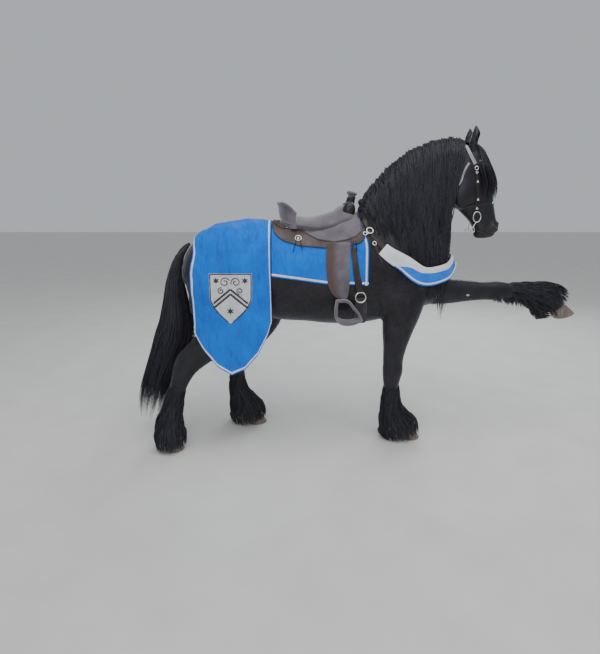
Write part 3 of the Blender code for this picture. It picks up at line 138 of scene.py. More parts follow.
class Finish:
    """Builds a node material step by step and keeps its shader at hand."""

    def __init__(self, name, colour=(0.5, 0.5, 0.5), roughness=0.5, metallic=0.0, **more):
        self.material = bpy.data.materials.new(name)
        self.material.use_nodes = True
        self.nodes = self.material.node_tree.nodes
        self.links = self.material.node_tree.links
        self.shader = self.nodes["Principled BSDF"]
        self.set("Base Color", (*colour, 1.0))
        self.set("Roughness", roughness)
        self.set("Metallic", metallic)
        for socket, value in more.items():
            self.set(socket.replace("_", " "), value)
        self.material.diffuse_color = (*colour, 1.0)

    def set(self, socket, value):
        self.shader.inputs[socket].default_value = value

    def node(self, kind, inputs=None, **settings):
        made = self.nodes.new(kind)
        for name, value in settings.items():
            setattr(made, name, value)
        for name, value in (inputs or {}).items():
            if isinstance(value, bpy.types.NodeSocket):
                self.links.new(value, made.inputs[name])
            else:
                made.inputs[name].default_value = value
        return made

    def place(self, source="Object"):
        return self.node("ShaderNodeTexCoord").outputs[source]

    def stretched(self, scale, turn=(0, 0, 0), source="Object"):
        vector = self.place(source)
        return self.node(
            "ShaderNodeMapping", {"Vector": vector, "Scale": scale, "Rotation": turn}
        ).outputs["Vector"]

    def noise(self, scale, detail=3.0, vector=None, roughness=0.55):
        vector = vector or self.place()
        made = self.node("ShaderNodeTexNoise", {"Vector": vector, "Scale": scale})
        made.inputs["Detail"].default_value = detail
        made.inputs["Roughness"].default_value = roughness
        return made.outputs["Fac"]

    def ramp(self, factor, stops):
        made = self.node("ShaderNodeValToRGB", {"Fac": factor})
        elements = made.color_ramp.elements
        for k, (position, colour) in enumerate(stops):
            spot = elements[k] if k < 2 else elements.new(position)
            spot.position = position
            spot.color = (*colour, 1.0)
        return made.outputs["Color"]

    def mix(self, factor, first, second):
        made = self.node("ShaderNodeMix", data_type="RGBA")
        for name, value in (("Factor", factor), ("A", first), ("B", second)):
            for spot in made.inputs:
                if spot.name == name and spot.enabled:
                    if isinstance(value, bpy.types.NodeSocket):
                        self.links.new(value, spot)
                    elif name == "Factor":
                        spot.default_value = value
                    else:
                        spot.default_value = (*value, 1.0)
        return next(o for o in made.outputs if o.enabled)

    def math(self, operation, first, second=0.0):
        made = self.node("ShaderNodeMath", operation=operation)
        for k, value in enumerate((first, second)):
            if isinstance(value, bpy.types.NodeSocket):
                self.links.new(value, made.inputs[k])
            else:
                made.inputs[k].default_value = value
        return made.outputs[0]

    def colour(self, socket):
        self.links.new(socket, self.shader.inputs["Base Color"])

    def rough(self, socket, low, high):
        made = self.node("ShaderNodeMapRange", {"Value": socket, "To Min": low, "To Max": high})
        self.links.new(made.outputs["Result"], self.shader.inputs["Roughness"])

    def bump(self, height, strength=0.3, distance=0.001, under=None):
        made = self.node("ShaderNodeBump", {"Height": height, "Strength": strength, "Distance": distance})
        if under:
            self.links.new(under, made.inputs["Normal"])
        self.links.new(made.outputs["Normal"], self.shader.inputs["Normal"])
        return made.outputs["Normal"]


def area_light(name, at, aim, size, power, colour=(1, 1, 1)):
    lamp = bpy.data.lights.new(name, "AREA")
    lamp.shape = "RECTANGLE"
    lamp.size, lamp.size_y = size
    lamp.energy = power
    lamp.color = colour
    holder = bpy.data.objects.new(name, lamp)
    holder.location = at
    holder.rotation_euler = (Vector(aim) - Vector(at)).to_track_quat("-Z", "Y").to_euler()
    scene.collection.objects.link(holder)


# %% Floor, room light and lamps
floor_mesh = bpy.data.meshes.new("floor")
FLOOR_REACH = 40
corners = [(-FLOOR_REACH, -FLOOR_REACH, 0), (FLOOR_REACH, -FLOOR_REACH, 0)]
corners += [(FLOOR_REACH, FLOOR_REACH, 0), (-FLOOR_REACH, FLOOR_REACH, 0)]
floor_mesh.from_pydata(corners, [], [(0, 1, 2, 3)])
floor = bpy.data.objects.new("floor", floor_mesh)
floor_finish = Finish("floor", (0.70, 0.69, 0.66), 0.9)
grit = floor_finish.noise(3.0, 6.0)
floor_finish.colour(floor_finish.ramp(grit, [(0.3, (0.68, 0.67, 0.64)), (0.7, (0.74, 0.73, 0.70))]))
floor_mesh.materials.append(floor_finish.material)
scene.collection.objects.link(floor)
floor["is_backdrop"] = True
world = bpy.data.worlds.new("room")
world.use_nodes = True
world.node_tree.nodes["Background"].inputs["Color"].default_value = (0.86, 0.90, 0.95, 1.0)
world.node_tree.nodes["Background"].inputs["Strength"].default_value = 0.55
scene.world = world
area_light("overhead", (0.5, -1.5, 5.5), (0, 0, 1.0), (6.0, 4.0), 150)
area_light("front", (-1.5, -5.5, 3.2), (0, 0, 1.2), (4.0, 2.5), 85)
area_light("behind", (1.5, 4.5, 3.5), (0.3, 0, 1.3), (4.0, 2.0), 110, (0.9, 0.95, 1.0))
print("lights", len(bpy.data.lights))

# %% [markdown]
# Nearly every soft form here is a tube through a few measured sections, or an
# ellipsoid of muscle. Sections are quick to measure on a photograph, and a smooth
# curve through them needs no sculpting. These helpers make both, and hand a
# finished piece over to the frame.

# %% Mesh helpers


def smooth_rows(rows, count):
    """Rows of numbers, the first three a point, on a smooth curve through the given rows."""
    rows = np.array(rows, float)
    steps = np.linalg.norm(np.diff(rows[:, :3], axis=0), axis=1)
    at = np.concatenate([[0.0], np.cumsum(steps)])
    slope = np.gradient(rows, at, axis=0)
    wanted = np.linspace(0.0, at[-1], count)
    k = np.clip(np.searchsorted(at, wanted, side="right") - 1, 0, len(at) - 2)
    span = (at[k + 1] - at[k])[:, None]
    t = (wanted[:, None] - at[k][:, None]) / span
    return (
        (2 * t**3 - 3 * t**2 + 1) * rows[k]
        + (t**3 - 2 * t**2 + t) * span * slope[k]
        + (3 * t**2 - 2 * t**3) * rows[k + 1]
        + (t**3 - t**2) * span * slope[k + 1]
    )


def frames_along(points, across=(0.0, 1.0, 0.0)):
    """Tangent, front and side directions at each point of a path."""
    tangent = np.gradient(points, axis=0)
    tangent /= np.linalg.norm(tangent, axis=1)[:, None]
    side = np.array(across) - tangent * (tangent @ np.array(across))[:, None]
    side /= np.linalg.norm(side, axis=1)[:, None]
    return tangent, np.cross(tangent, side), side


def mesh_of(name, points, faces):
    mesh = bpy.data.meshes.new(name)
    mesh.from_pydata([tuple(map(float, p)) for p in points], [], faces)
    mesh.update()
    return mesh


def outwards(mesh, merge=0.0):
    work = bmesh.new()
    work.from_mesh(mesh)
    if merge:
        bmesh.ops.remove_doubles(work, verts=work.verts, dist=merge)
    bmesh.ops.recalc_face_normals(work, faces=work.faces)
    work.to_mesh(mesh)
    work.free()
    return mesh


def tube(stations, rings, sides=24, power=2.2):
    """A closed body along a path: x, y, z, then its reach to the front, to the back and to each side."""
    rows = smooth_rows(stations, rings)
    _, front, side = frames_along(rows[:, :3])
    turn = (np.arange(sides) + 0.5) * 2 * math.pi / sides
    c = np.sign(np.cos(turn)) * np.abs(np.cos(turn)) ** (2 / power)
    s = np.sign(np.sin(turn)) * np.abs(np.sin(turn)) ** (2 / power)
    points, faces = [], []
    for row, n, b in zip(rows, front, side):
        reach = np.where(s >= 0, row[3], row[4])
        points.extend(row[:3] + np.outer(s * reach, n) + np.outer(c * row[5], b))
    for r in range(rings - 1):
        for k in range(sides):
            a, b = r * sides + k, r * sides + (k + 1) % sides
            faces.append((a, a + sides, b + sides, b))
    faces.append(tuple(range(sides)))
    faces.append(tuple((rings - 1) * sides + k for k in reversed(range(sides))))
    return outwards(mesh_of("tube", points, faces))


def blob(centre, radii, lean=0.0, segments=24):
    """An ellipsoid, leaning about the Y axis by degrees."""
    work = bmesh.new()
    bmesh.ops.create_uvsphere(work, u_segments=segments, v_segments=segments // 2, radius=1.0)
    turned = Matrix.Rotation(math.radians(lean), 4, "Y")
    work.transform(Matrix.Translation(centre) @ turned @ Matrix.Diagonal((*radii, 1.0)))
    mesh = bpy.data.meshes.new("blob")
    work.to_mesh(mesh)
    work.free()
    return mesh


def joined(meshes):
    work = bmesh.new()
    for mesh in meshes:
        work.from_mesh(mesh)
    whole = bpy.data.meshes.new("joined")
    work.to_mesh(whole)
    work.free()
    return whole


def new_object(name, mesh, finish=None):
    piece = bpy.data.objects.new(name, mesh)
    scene.collection.objects.link(piece)
    if finish:
        mesh.materials.clear()
        mesh.materials.append(finish.material)
    return piece


def apply_modifiers(piece):
    bpy.context.view_layer.update()
    graph = bpy.context.evaluated_depsgraph_get()
    mesh = bpy.data.meshes.new_from_object(piece.evaluated_get(graph))
    piece.modifiers.clear()
    piece.data = mesh


def add_modifier(piece, kind, **settings):
    made = piece.modifiers.new(kind.title(), kind)
    for name, value in settings.items():
        setattr(made, name, value)
    return made


def subdivided(piece, levels=1):
    add_modifier(piece, "SUBSURF", levels=levels, render_levels=levels)
    apply_modifiers(piece)


def hand_over(piece, slot, *nodes, smooth=True, sharp=None):
    """Moves a finished piece onto the solids, hides the solids that it stands for, and prints its triangles. The slot
    is not used.
    """
    piece.data.transform(Matrix.Translation(SHIFT))
    if smooth:
        piece.data.shade_smooth()
    if sharp:
        piece.data.set_sharp_from_angle(angle=math.radians(sharp))
    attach(piece, "root")
    if nodes:
        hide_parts(*nodes)
    triangles = sum(len(f.vertices) - 2 for f in piece.data.polygons)
    print(piece.name, triangles, "triangles")
    return piece


def tree_of(*meshes):
    points, faces = [], []
    for mesh in meshes:
        start = len(points)
        points.extend(v.co.copy() for v in mesh.vertices)
        faces.extend([start + k for k in p.vertices] for p in mesh.polygons)
    return BVHTree.FromPolygons(points, faces)


# %% [markdown]
# ## The skin
# The body, neck, head and legs are tubes, and muscles round them out. A voxel
# remesh melts all of them into one skin, as clay would, and smoothing takes away the
# seams. The same sections made the solids, so the skin lies where they are.

# %% Sections of the body
WITHERS_Z = 1.60
CROUP_Z = 1.543
BELLY_Z = 0.844
CANNON = 0.050
TRUNK = (
    (-0.787, 0, 1.291, 0.072, 0.082, 0.082),
    (-0.756, 0, 1.281, 0.154, 0.134, 0.185),
    (-0.679, 0, 1.250, 0.252, 0.175, 0.257),
    (-0.566, 0, 1.230, 0.309, 0.206, 0.293),
    (-0.432, 0, 1.209, CROUP_Z - 1.209, 0.247, 0.304),
    (-0.268, 0, 1.199, 0.353, 0.298, 0.296),
    (-0.103, 0, 1.178, 0.348, 0.309, 0.298),
    (0.062, 0, 1.168, 0.345, 0.309, 0.300),
    (0.206, 0, 1.163, 0.365, 1.163 - BELLY_Z, 0.307),
    (0.360, 0, 1.168, WITHERS_Z - 1.168, 0.322, 0.288),
    (0.514, 0, 1.178, 0.412, 0.314, 0.270),
    (0.669, 0, 1.178, 0.350, 0.273, 0.257),
    (0.813, 0, 1.168, 0.268, 0.221, 0.242),
    (0.926, 0, 1.158, 0.180, 0.170, 0.201),
    (0.996, 0, 1.147, 0.093, 0.093, 0.113),
)
NECK = (
    (0.514, 0, 1.271, 0.340, 0.340, 0.221),
    (0.659, 0, 1.466, 0.309, 0.309, 0.185),
    (0.733, 0, 1.641, 0.262, 0.257, 0.146),
    (0.801, 0, 1.765, 0.218, 0.218, 0.123),
    (0.875, 0, 1.857, 0.179, 0.183, 0.109),
    (0.952, 0, 1.919, 0.144, 0.152, 0.099),
    (1.039, 0, 1.955, 0.108, 0.123, 0.091),
    (1.101, 0, 1.955, 0.072, 0.082, 0.072),
)
HEAD = (
    (1.080, 0, 2.027, 0.046, 0.062, 0.054),
    (1.117, 0, 1.976, 0.080, 0.103, 0.086),
    (1.152, 0, 1.888, 0.101, 0.139, 0.097),
    (1.181, 0, 1.796, 0.105, 0.165, 0.082),
    (1.208, 0, 1.708, 0.099, 0.163, 0.068),
    (1.236, 0, 1.626, 0.088, 0.126, 0.056),
    (1.255, 0, 1.559, 0.084, 0.091, 0.051),
    (1.268, 0, 1.502, 0.082, 0.080, 0.055),
    (1.276, 0, 1.461, 0.068, 0.072, 0.050),
    (1.279, 0, 1.435, 0.041, 0.045, 0.033),
)

# %% Sections of the legs
LEGS = {
    "fore_leg_right": (
        (0.710, -0.154, 1.147, 0.154, 0.154, 0.087),
        (0.681, -0.165, 0.962, 0.132, 0.123, 0.091),
        (0.664, -0.150, 0.839, 0.107, 0.108, 0.082),
        (0.652, -0.126, 0.695, 0.080, 0.082, 0.065),
        (0.646, -0.108, 0.581, 0.068, 0.070, 0.055),
        (0.646, -0.100, 0.515, 0.072, 0.070, 0.060),
        (0.645, -0.091, 0.453, 0.060, 0.064, 0.050),
        (0.645, -0.078, 0.365, 0.051, CANNON, 0.042),
        (0.648, -0.064, 0.252, 0.051, CANNON, 0.042),
        (0.654, -0.057, 0.185, 0.062, 0.066, 0.051),
        (0.683, -0.052, 0.118, 0.051, 0.054, 0.048),
        (0.720, -0.048, 0.057, 0.058, 0.060, 0.056),
        (0.730, -0.048, 0.030, 0.045, 0.045, 0.045),
    ),
    "fore_leg_left": (
        (0.782, 0.139, 1.188, 0.154, 0.154, 0.087),
        (0.926, 0.159, 1.086, 0.118, 0.129, 0.091),
        (1.060, 0.173, 1.044, 0.095, 0.108, 0.082),
        (1.214, 0.181, 1.040, 0.078, 0.088, 0.066),
        (1.379, 0.185, 1.036, 0.068, 0.072, 0.056),
        (1.461, 0.187, 1.034, 0.074, 0.072, 0.060),
        (1.523, 0.188, 1.034, 0.064, 0.066, 0.050),
        (1.616, 0.189, 1.038, 0.054, CANNON, 0.042),
        (1.729, 0.190, 1.044, 0.051, CANNON, 0.042),
        (1.796, 0.191, 1.034, 0.062, 0.066, 0.051),
        (1.857, 0.192, 0.981, 0.051, 0.054, 0.048),
        (1.916, 0.193, 0.929, 0.058, 0.060, 0.056),
        (1.935, 0.193, 0.914, 0.045, 0.045, 0.045),
    ),
    "hind_leg_right": (
        (-0.514, -0.134, 1.240, 0.206, 0.226, 0.134),
        (-0.489, -0.170, 1.044, 0.211, 0.252, 0.129),
        (-0.484, -0.180, 0.890, 0.180, 0.232, 0.111),
        (-0.556, -0.185, 0.767, 0.129, 0.154, 0.088),
        (-0.664, -0.190, 0.672, 0.086, 0.108, 0.065),
        (-0.756, -0.196, 0.587, 0.076, 0.095, 0.056),
        (-0.803, -0.198, 0.499, 0.062, 0.070, 0.051),
        (-0.836, -0.202, 0.396, 0.051, 0.056, 0.043),
        (-0.871, -0.206, 0.268, 0.051, 0.056, 0.043),
        (-0.893, -0.209, 0.192, 0.062, 0.068, 0.052),
        (-0.893, -0.216, 0.123, 0.051, 0.055, 0.049),
        (-0.887, -0.222, 0.057, 0.058, 0.060, 0.057),
        (-0.884, -0.224, 0.030, 0.045, 0.045, 0.045),
    ),
    "hind_leg_left": (
        (-0.473, 0.134, 1.240, 0.206, 0.226, 0.134),
        (-0.360, 0.165, 1.044, 0.211, 0.252, 0.129),
        (-0.293, 0.175, 0.880, 0.170, 0.206, 0.111),
        (-0.334, 0.180, 0.746, 0.121, 0.139, 0.088),
        (-0.422, 0.185, 0.643, 0.086, 0.103, 0.065),
        (-0.492, 0.187, 0.556, 0.074, 0.093, 0.056),
        (-0.486, 0.189, 0.473, 0.062, 0.068, 0.051),
        (-0.471, 0.191, 0.376, 0.051, 0.054, 0.043),
        (-0.463, 0.193, 0.257, 0.051, 0.054, 0.043),
        (-0.457, 0.196, 0.188, 0.062, 0.068, 0.052),
        (-0.424, 0.198, 0.120, 0.051, 0.054, 0.049),
        (-0.389, 0.199, 0.057, 0.058, 0.060, 0.057),
        (-0.380, 0.199, 0.030, 0.045, 0.045, 0.045),
    ),
}
BOTH = (RIGHT, LEFT)
MUSCLES = (
    ((0.659, 0.154, 1.261), (0.154, 0.098, 0.268), 25, BOTH),
    ((0.854, 0.144, 1.137), (0.113, 0.082, 0.113), 0, BOTH),
    ((0.648, 0.170, 1.044), (0.144, 0.087, 0.123), 10, BOTH),
    ((0.921, 0.082, 1.116), (0.082, 0.082, 0.134), 0, BOTH),
    ((-0.463, 0.154, 1.353), (0.237, 0.134, 0.165), 5, BOTH),
    ((-0.607, 0.154, 1.168), (0.154, 0.118, 0.247), -5, BOTH),
    ((-0.340, 0.180, 1.034), (0.144, 0.108, 0.196), 10, BOTH),
    ((1.103, 0.051, 1.749), (0.087, 0.039, 0.118), 12, BOTH),
    ((1.183, 0.082, 1.914), (0.047, 0.027, 0.031), 20, BOTH),
    ((1.320, 0.031, 1.513), (0.035, 0.028, 0.043), -10, BOTH),
    ((1.227, 0.000, 1.458), (0.037, 0.035, 0.029), 0, (RIGHT,)),
)
print("legs", len(LEGS), "muscles", len(MUSCLES))

# %% Melt the sections into one skin
SKIN_VOXEL = 0.0113
forms = [tube(TRUNK, 60, 48), tube(NECK, 44, 40), tube(HEAD, 44, 40)]
forms += [tube(stations, 70, 28, 2.0) for stations in LEGS.values()]
for centre, radii, lean, sides in MUSCLES:
    forms += [blob((centre[0], centre[1] * side, centre[2]), radii, lean) for side in sides]
skin = new_object("skin", joined(forms))
add_modifier(skin, "REMESH", mode="VOXEL", voxel_size=SKIN_VOXEL)
add_modifier(skin, "SMOOTH", factor=0.5, iterations=10)
apply_modifiers(skin)
print("skin", len(skin.data.vertices), "points")

# %% [markdown]
# The face needs smaller faces than the flank, so only the head is divided again, and
# the muzzle and the eye once more. Then soft brushes press the hollows in and raise
# the ridges: each brush is a centre, a size and a depth, which is simple to tune.

# %% Finer faces on the head


def refine(mesh, inside):
    work = bmesh.new()
    work.from_mesh(mesh)
    chosen = {e for f in work.faces if inside(f.calc_center_median()) for e in f.edges}
    bmesh.ops.subdivide_edges(work, edges=list(chosen), cuts=1, use_grid_fill=True, smooth=0.6)
    work.to_mesh(mesh)
    work.free()


def near_head(p):
    return p.x > 1.04 and p.z > 1.40


def near_features(p):
    on_muzzle = p.z < 1.60 and p.x > 1.19
    on_eye = (Vector((abs(p.y), p.z)) - Vector((0.080, 1.873))).length < 0.055 and p.x > 1.14
    return near_head(p) and (on_muzzle or on_eye)


joins = skin.vertex_groups.new(name="joins")
for vertex in skin.data.vertices:
    p = vertex.co
    near = math.exp(-(((p.x - 0.72) / 0.24) ** 2) - ((p.z - 1.36) / 0.26) ** 2)
    if near > 0.05 and abs(p.y) > 0.03:
        joins.add([vertex.index], min(1.0, 1.6 * near), "REPLACE")
add_modifier(skin, "SMOOTH", factor=0.8, iterations=45, vertex_group="joins")
apply_modifiers(skin)
refine(skin.data, near_head)
refine(skin.data, near_features)
add_modifier(skin, "SMOOTH", factor=0.5, iterations=3)
apply_modifiers(skin)

# %% Brushes that shape the skin
EYE_AT = (1.199, 0.076, 1.873)
EYE_RADIUS = 0.021
BRUSHES = (
    # centre, radii, lean, depth outwards
    ((1.199, 0.090, 1.873), (0.030, 0.030, 0.026), 15, -0.006),
    ((1.176, 0.082, 1.905), (0.016, 0.030, 0.016), 15, -0.007),
    ((1.204, 0.085, 1.903), (0.026, 0.030, 0.010), 30, 0.006),
    ((1.222, 0.066, 1.800), (0.012, 0.030, 0.070), -18, 0.005),
    ((1.245, 0.056, 1.720), (0.020, 0.030, 0.050), -18, -0.004),
    ((1.332, 0.046, 1.520), (0.010, 0.020, 0.020), -30, -0.022),
    ((1.322, 0.048, 1.534), (0.008, 0.018, 0.010), -30, -0.008),
    ((1.346, 0.038, 1.538), (0.014, 0.018, 0.014), -25, 0.006),
    ((1.312, 0.050, 1.510), (0.009, 0.016, 0.026), -20, 0.006),
    ((1.330, 0.040, 1.492), (0.018, 0.018, 0.010), 0, 0.004),
    ((1.300, 0.040, 1.478), (0.030, 0.020, 0.008), 0, 0.003),
    ((1.285, 0.045, 1.560), (0.030, 0.030, 0.040), -20, -0.005),
    ((1.150, 0.095, 1.850), (0.030, 0.030, 0.040), 0, -0.004),
    ((1.128, 0.075, 1.660), (0.020, 0.040, 0.070), 25, -0.003),
    ((1.104, 0.090, 1.740), (0.060, 0.040, 0.085), 12, 0.004),
    ((0.700, 0.240, 1.300), (0.030, 0.060, 0.200), 25, -0.006),
    ((0.830, 0.230, 1.080), (0.060, 0.060, 0.030), 20, -0.006),
    ((0.560, 0.240, 1.000), (0.030, 0.060, 0.100), -20, -0.008),
    ((0.700, 0.200, 0.850), (0.020, 0.060, 0.120), 0, -0.004),
    ((-0.200, 0.280, 1.050), (0.060, 0.060, 0.150), -20, -0.008),
    ((-0.600, 0.240, 0.930), (0.030, 0.060, 0.140), -25, -0.006),
)


def brushed(points, normals):
    moved = points.copy()
    for centre, radii, lean, depth in BRUSHES:
        turn = np.array(Matrix.Rotation(math.radians(lean), 3, "Y"))
        for side in BOTH:
            local = (points - np.array((centre[0], centre[1] * side, centre[2]))) @ turn
            weight = np.exp(-((local / np.array(radii)) ** 2).sum(axis=1))
            moved += normals * (weight * depth)[:, None]
    return moved


def read_points(mesh):
    points = np.empty(len(mesh.vertices) * 3)
    mesh.vertices.foreach_get("co", points)
    return points.reshape(-1, 3)


def read_normals(mesh):
    normals = np.empty(len(mesh.vertices) * 3, np.float32)
    mesh.vertex_normals.foreach_get("vector", normals)
    return normals.reshape(-1, 3).astype(float)


def write_points(mesh, points):
    mesh.vertices.foreach_set("co", points.ravel())
    mesh.update()


MOUTH = ((1.196, 1.492), (1.235, 1.478), (1.275, 1.466), (1.312, 1.462), (1.345, 1.470))


def mouth_line(points, normals):
    """A groove along the lips on both sides."""
    z_at = np.interp(points[:, 0], [p[0] for p in MOUTH], [p[1] for p in MOUTH])
    near = np.exp(-(((points[:, 2] - z_at) / 0.0035) ** 2))
    inside = (points[:, 0] > MOUTH[0][0]) & (points[:, 2] < 1.56)
    return points - normals * (0.0055 * near * inside)[:, None]


normals = read_normals(skin.data)
points = mouth_line(brushed(read_points(skin.data), normals), normals)
write_points(skin.data, points)
print("brushes", len(BRUSHES))

# %% [markdown]
# The short coat and every strand of long hair take their place on one unwrap of the
# skin. It rolls each part of the animal out like a sleeve: along its length one way
# and round it the other. That is quick, even, and the same on every run.

# %% Unwrap of the skin
SLEEVES = {
    "trunk": (TRUNK, (0.01, 0.01, 0.38, 0.60)),
    "neck": (NECK, (0.41, 0.01, 0.28, 0.40)),
    "head": (HEAD, (0.71, 0.01, 0.28, 0.40)),
    "fore_leg_right": (LEGS["fore_leg_right"], (0.01, 0.64, 0.22, 0.35)),
    "fore_leg_left": (LEGS["fore_leg_left"], (0.26, 0.64, 0.22, 0.35)),
    "hind_leg_right": (LEGS["hind_leg_right"], (0.51, 0.64, 0.22, 0.35)),
    "hind_leg_left": (LEGS["hind_leg_left"], (0.76, 0.64, 0.22, 0.35)),
}
SLEEVE_ROWS = 60
sleeve_rows = [smooth_rows(stations, SLEEVE_ROWS) for stations, _ in SLEEVES.values()]
sleeve_frames = [frames_along(rows[:, :3]) for rows in sleeve_rows]
sleeve_boxes = np.array([box for _, box in SLEEVES.values()])
section_tree = KDTree(SLEEVE_ROWS * len(SLEEVES))
for n, rows in enumerate(sleeve_rows):
    for r, row in enumerate(rows):
        section_tree.insert(row[:3], n * SLEEVE_ROWS + r)
section_tree.balance()


def sleeve_of(point):
    """The sleeve and section whose surface is nearest to this point."""
    found = section_tree.find_n(point, 24)
    best = min(found, key=lambda f: f[2] - sleeve_rows[f[1] // SLEEVE_ROWS][f[1] % SLEEVE_ROWS][5])
    return best[1] // SLEEVE_ROWS, best[1] % SLEEVE_ROWS


def unrolled(points, sleeve, section, seam=None):
    """Where these points land on the unwrap. With a seam, angles stay next to that one."""
    uv = np.empty((len(points), 2))
    angle_out = np.empty(len(points))
    for n in range(len(SLEEVES)):
        mine = sleeve == n
        r = section[mine]
        rows = sleeve_rows[n]
        tangent, front, side = (part[r] for part in sleeve_frames[n])
        off = points[mine] - rows[r, :3]
        angle = np.arctan2((off * side).sum(1), -(off * front).sum(1))
        if seam is not None:
            near = seam[mine]
            angle = near + (angle - near + math.pi) % (2 * math.pi) - math.pi
        length = np.linalg.norm(rows[-1, :3] - rows[0, :3])
        on = r / (SLEEVE_ROWS - 1) + (off * tangent).sum(1) / length
        x, y, wide, high = sleeve_boxes[n]
        uv[mine, 0] = x + wide * np.clip(0.5 + angle / (2 * math.pi), -0.03, 1.03)
        uv[mine, 1] = y + high * np.clip(on, -0.02, 1.02)
        angle_out[mine] = angle
    return uv, angle_out


def unwrap(mesh):
    """Gives a mesh the OFBake map, face by face, so that no face straddles a seam."""
    points = read_points(mesh)
    centres = np.array([f.center[:] for f in mesh.polygons])
    places = np.array([sleeve_of(c) for c in centres])
    _, seams = unrolled(centres, places[:, 0], places[:, 1])
    starts = np.array([f.loop_total for f in mesh.polygons])
    face_of = np.repeat(np.arange(len(centres)), starts)
    corners = np.empty(len(mesh.loops), int)
    mesh.loops.foreach_get("vertex_index", corners)
    uv, _ = unrolled(points[corners], places[face_of, 0], places[face_of, 1], seams[face_of])
    layer = mesh.uv_layers.new(name="OFBake")
    layer.data.foreach_set("uv", uv.ravel())


def roots_on_unwrap(roots):
    places = np.array([sleeve_of(p) for p in roots])
    return unrolled(np.array(roots), places[:, 0], places[:, 1])[0]


unwrap(skin.data)
skin_tree = tree_of(skin.data)
print("sleeves", len(SLEEVES))

# %% [markdown]
# A Friesian is black all over, and light picks out the lie of the hair as a cool
# sheen. The finish is nearly black, with streaks far longer than wide for the lie
# of the coat, and a bump that runs the same way.

# %% Coat finish
coat = Finish("black_coat", (0.012, 0.011, 0.013), 0.42, Sheen_Weight=0.35, Sheen_Roughness=0.35)
coat.set("Sheen Tint", (0.55, 0.62, 0.85, 1.0))
coat.set("Specular IOR Level", 0.42)
lie = coat.stretched((60, 700, 420), (0, math.radians(-35), 0))
hairs = coat.noise(1.0, 4.0, lie)
cloud = coat.noise(5.0, 4.0)
black_hair = coat.ramp(cloud, [(0.35, (0.007, 0.0065, 0.0095)), (0.7, (0.021, 0.019, 0.027))])
MUZZLE_AT = Vector((1.335, 0.0, 1.475)) + SHIFT
from_muzzle = coat.node("ShaderNodeVectorMath", {0: coat.place(), 1: MUZZLE_AT}, operation="DISTANCE")
bare = coat.node(
    "ShaderNodeMapRange",
    {"Value": from_muzzle.outputs["Value"], "From Min": 0.045, "From Max": 0.105, "To Min": 0.8, "To Max": 0.0},
)
muzzle_tone = coat.ramp(coat.noise(60.0, 4.0), [(0.35, (0.030, 0.022, 0.024)), (0.7, (0.080, 0.056, 0.056))])
coat.colour(coat.mix(bare.outputs["Result"], black_hair, muzzle_tone))
coat.rough(hairs, 0.34, 0.55)
coat.bump(hairs, 0.35, 0.0012, coat.bump(cloud, 0.25, 0.006))
skin.data.materials.clear()
skin.data.materials.append(coat.material)
FLESH = ["torso", "neck", "head", "ear_right", "ear_left"]
FLESH += [leg + part for leg in LEGS for part in ("_upper", "_lower")]
skin_points = read_points(skin.data)
hand_over(skin, "black_coat", *FLESH)

# %% [markdown]
# ## Eyes and lids
# The eye is a ball sunk in its socket. Two lids close over it, the upper one heavier.
# A thick row of lashes shades it, but no lashes are made here. The iris is so dark a
# brown that only the wet highlight shows from afar.

# %% Eyes
eye_finish = Finish("eye", (0.010, 0.006, 0.004), 0.06, Coat_Weight=1.0, Coat_Roughness=0.02)
for word, side in SIDES:
    ball = blob((EYE_AT[0], EYE_AT[1] * side, EYE_AT[2]), (EYE_RADIUS,) * 3, 0, 32)
    hand_over(new_object("eye_ball_" + word, ball, eye_finish), "eye", "eye_" + word)

lid_finish = Finish("lid_skin", (0.012, 0.011, 0.012), 0.38)
lid_finish.bump(lid_finish.noise(180, 3.0), 0.3, 0.0006)


def lid(side, above):
    """A fold of skin over the ball, from the inner to the outer corner."""
    centre = Vector((EYE_AT[0], EYE_AT[1] * side, EYE_AT[2]))
    points, columns, rows = [], 20, 7
    for c in range(columns + 1):
        t = c / columns
        across = math.radians(-78 + 156 * t)
        open_by = (24 if above > 0 else 18) * math.cos(across) ** 0.7
        for r in range(rows + 1):
            up = math.radians(open_by + 52 * r / rows) * above
            bulge = 1.06 + 0.16 * math.sin(math.pi * min(1.0, r / rows * 1.2)) * math.cos(across) ** 0.5
            fade = 1.0 - 0.22 * (r / rows) ** 2
            way = Vector((math.sin(across), side * math.cos(across) * math.cos(up), math.cos(across) * math.sin(up)))
            points.append(centre + Matrix.Rotation(0.25, 3, "Y") @ way * EYE_RADIUS * bulge * fade)
    faces = []
    for c in range(columns):
        for r in range(rows):
            a = c * (rows + 1) + r
            faces.append((a, a + 1, a + rows + 2, a + rows + 1))
    return mesh_of("lid", points, faces)


lids = []
for side in BOTH:
    for above in (1, -1):
        flap = new_object("lid", lid(side, above))
        outwards(flap.data)
        add_modifier(flap, "SOLIDIFY", thickness=0.0035, offset=-1.0 if side * above > 0 else 1.0)
        apply_modifiers(flap)
        lids.append(flap.data)
        bpy.data.objects.remove(flap)
hand_over(new_object("eyelids", outwards(joined(lids)), lid_finish), "black_coat")

# %% Chestnut inside the raised forearm
chestnut_horn = Finish("chestnut_horn", (0.55, 0.50, 0.46), 0.6)
chestnut_horn.bump(chestnut_horn.noise(160, 3.0), 0.5, 0.001)
spot = skin_tree.ray_cast(Vector((1.225, -2.0, 1.012)), Vector((0, 1, 0)))[0]
if spot:
    chestnut = blob(spot[:], (0.014, 0.005, 0.008), 8, 16)
    hand_over(new_object("chestnut", chestnut, chestnut_horn), "hoof_horn")

# %% [markdown]
# ## Ears
# An ear is a rolled leaf: two edges that part in front and close at the foot and the
# tip. A grid over its height and round its edge gives that shape, and Solidify
# gives the gristle its thickness.

# %% Ears
EAR = ((0.00, 0.024), (0.20, 0.033), (0.45, 0.038), (0.70, 0.030), (0.88, 0.015), (1.0, 0.002))


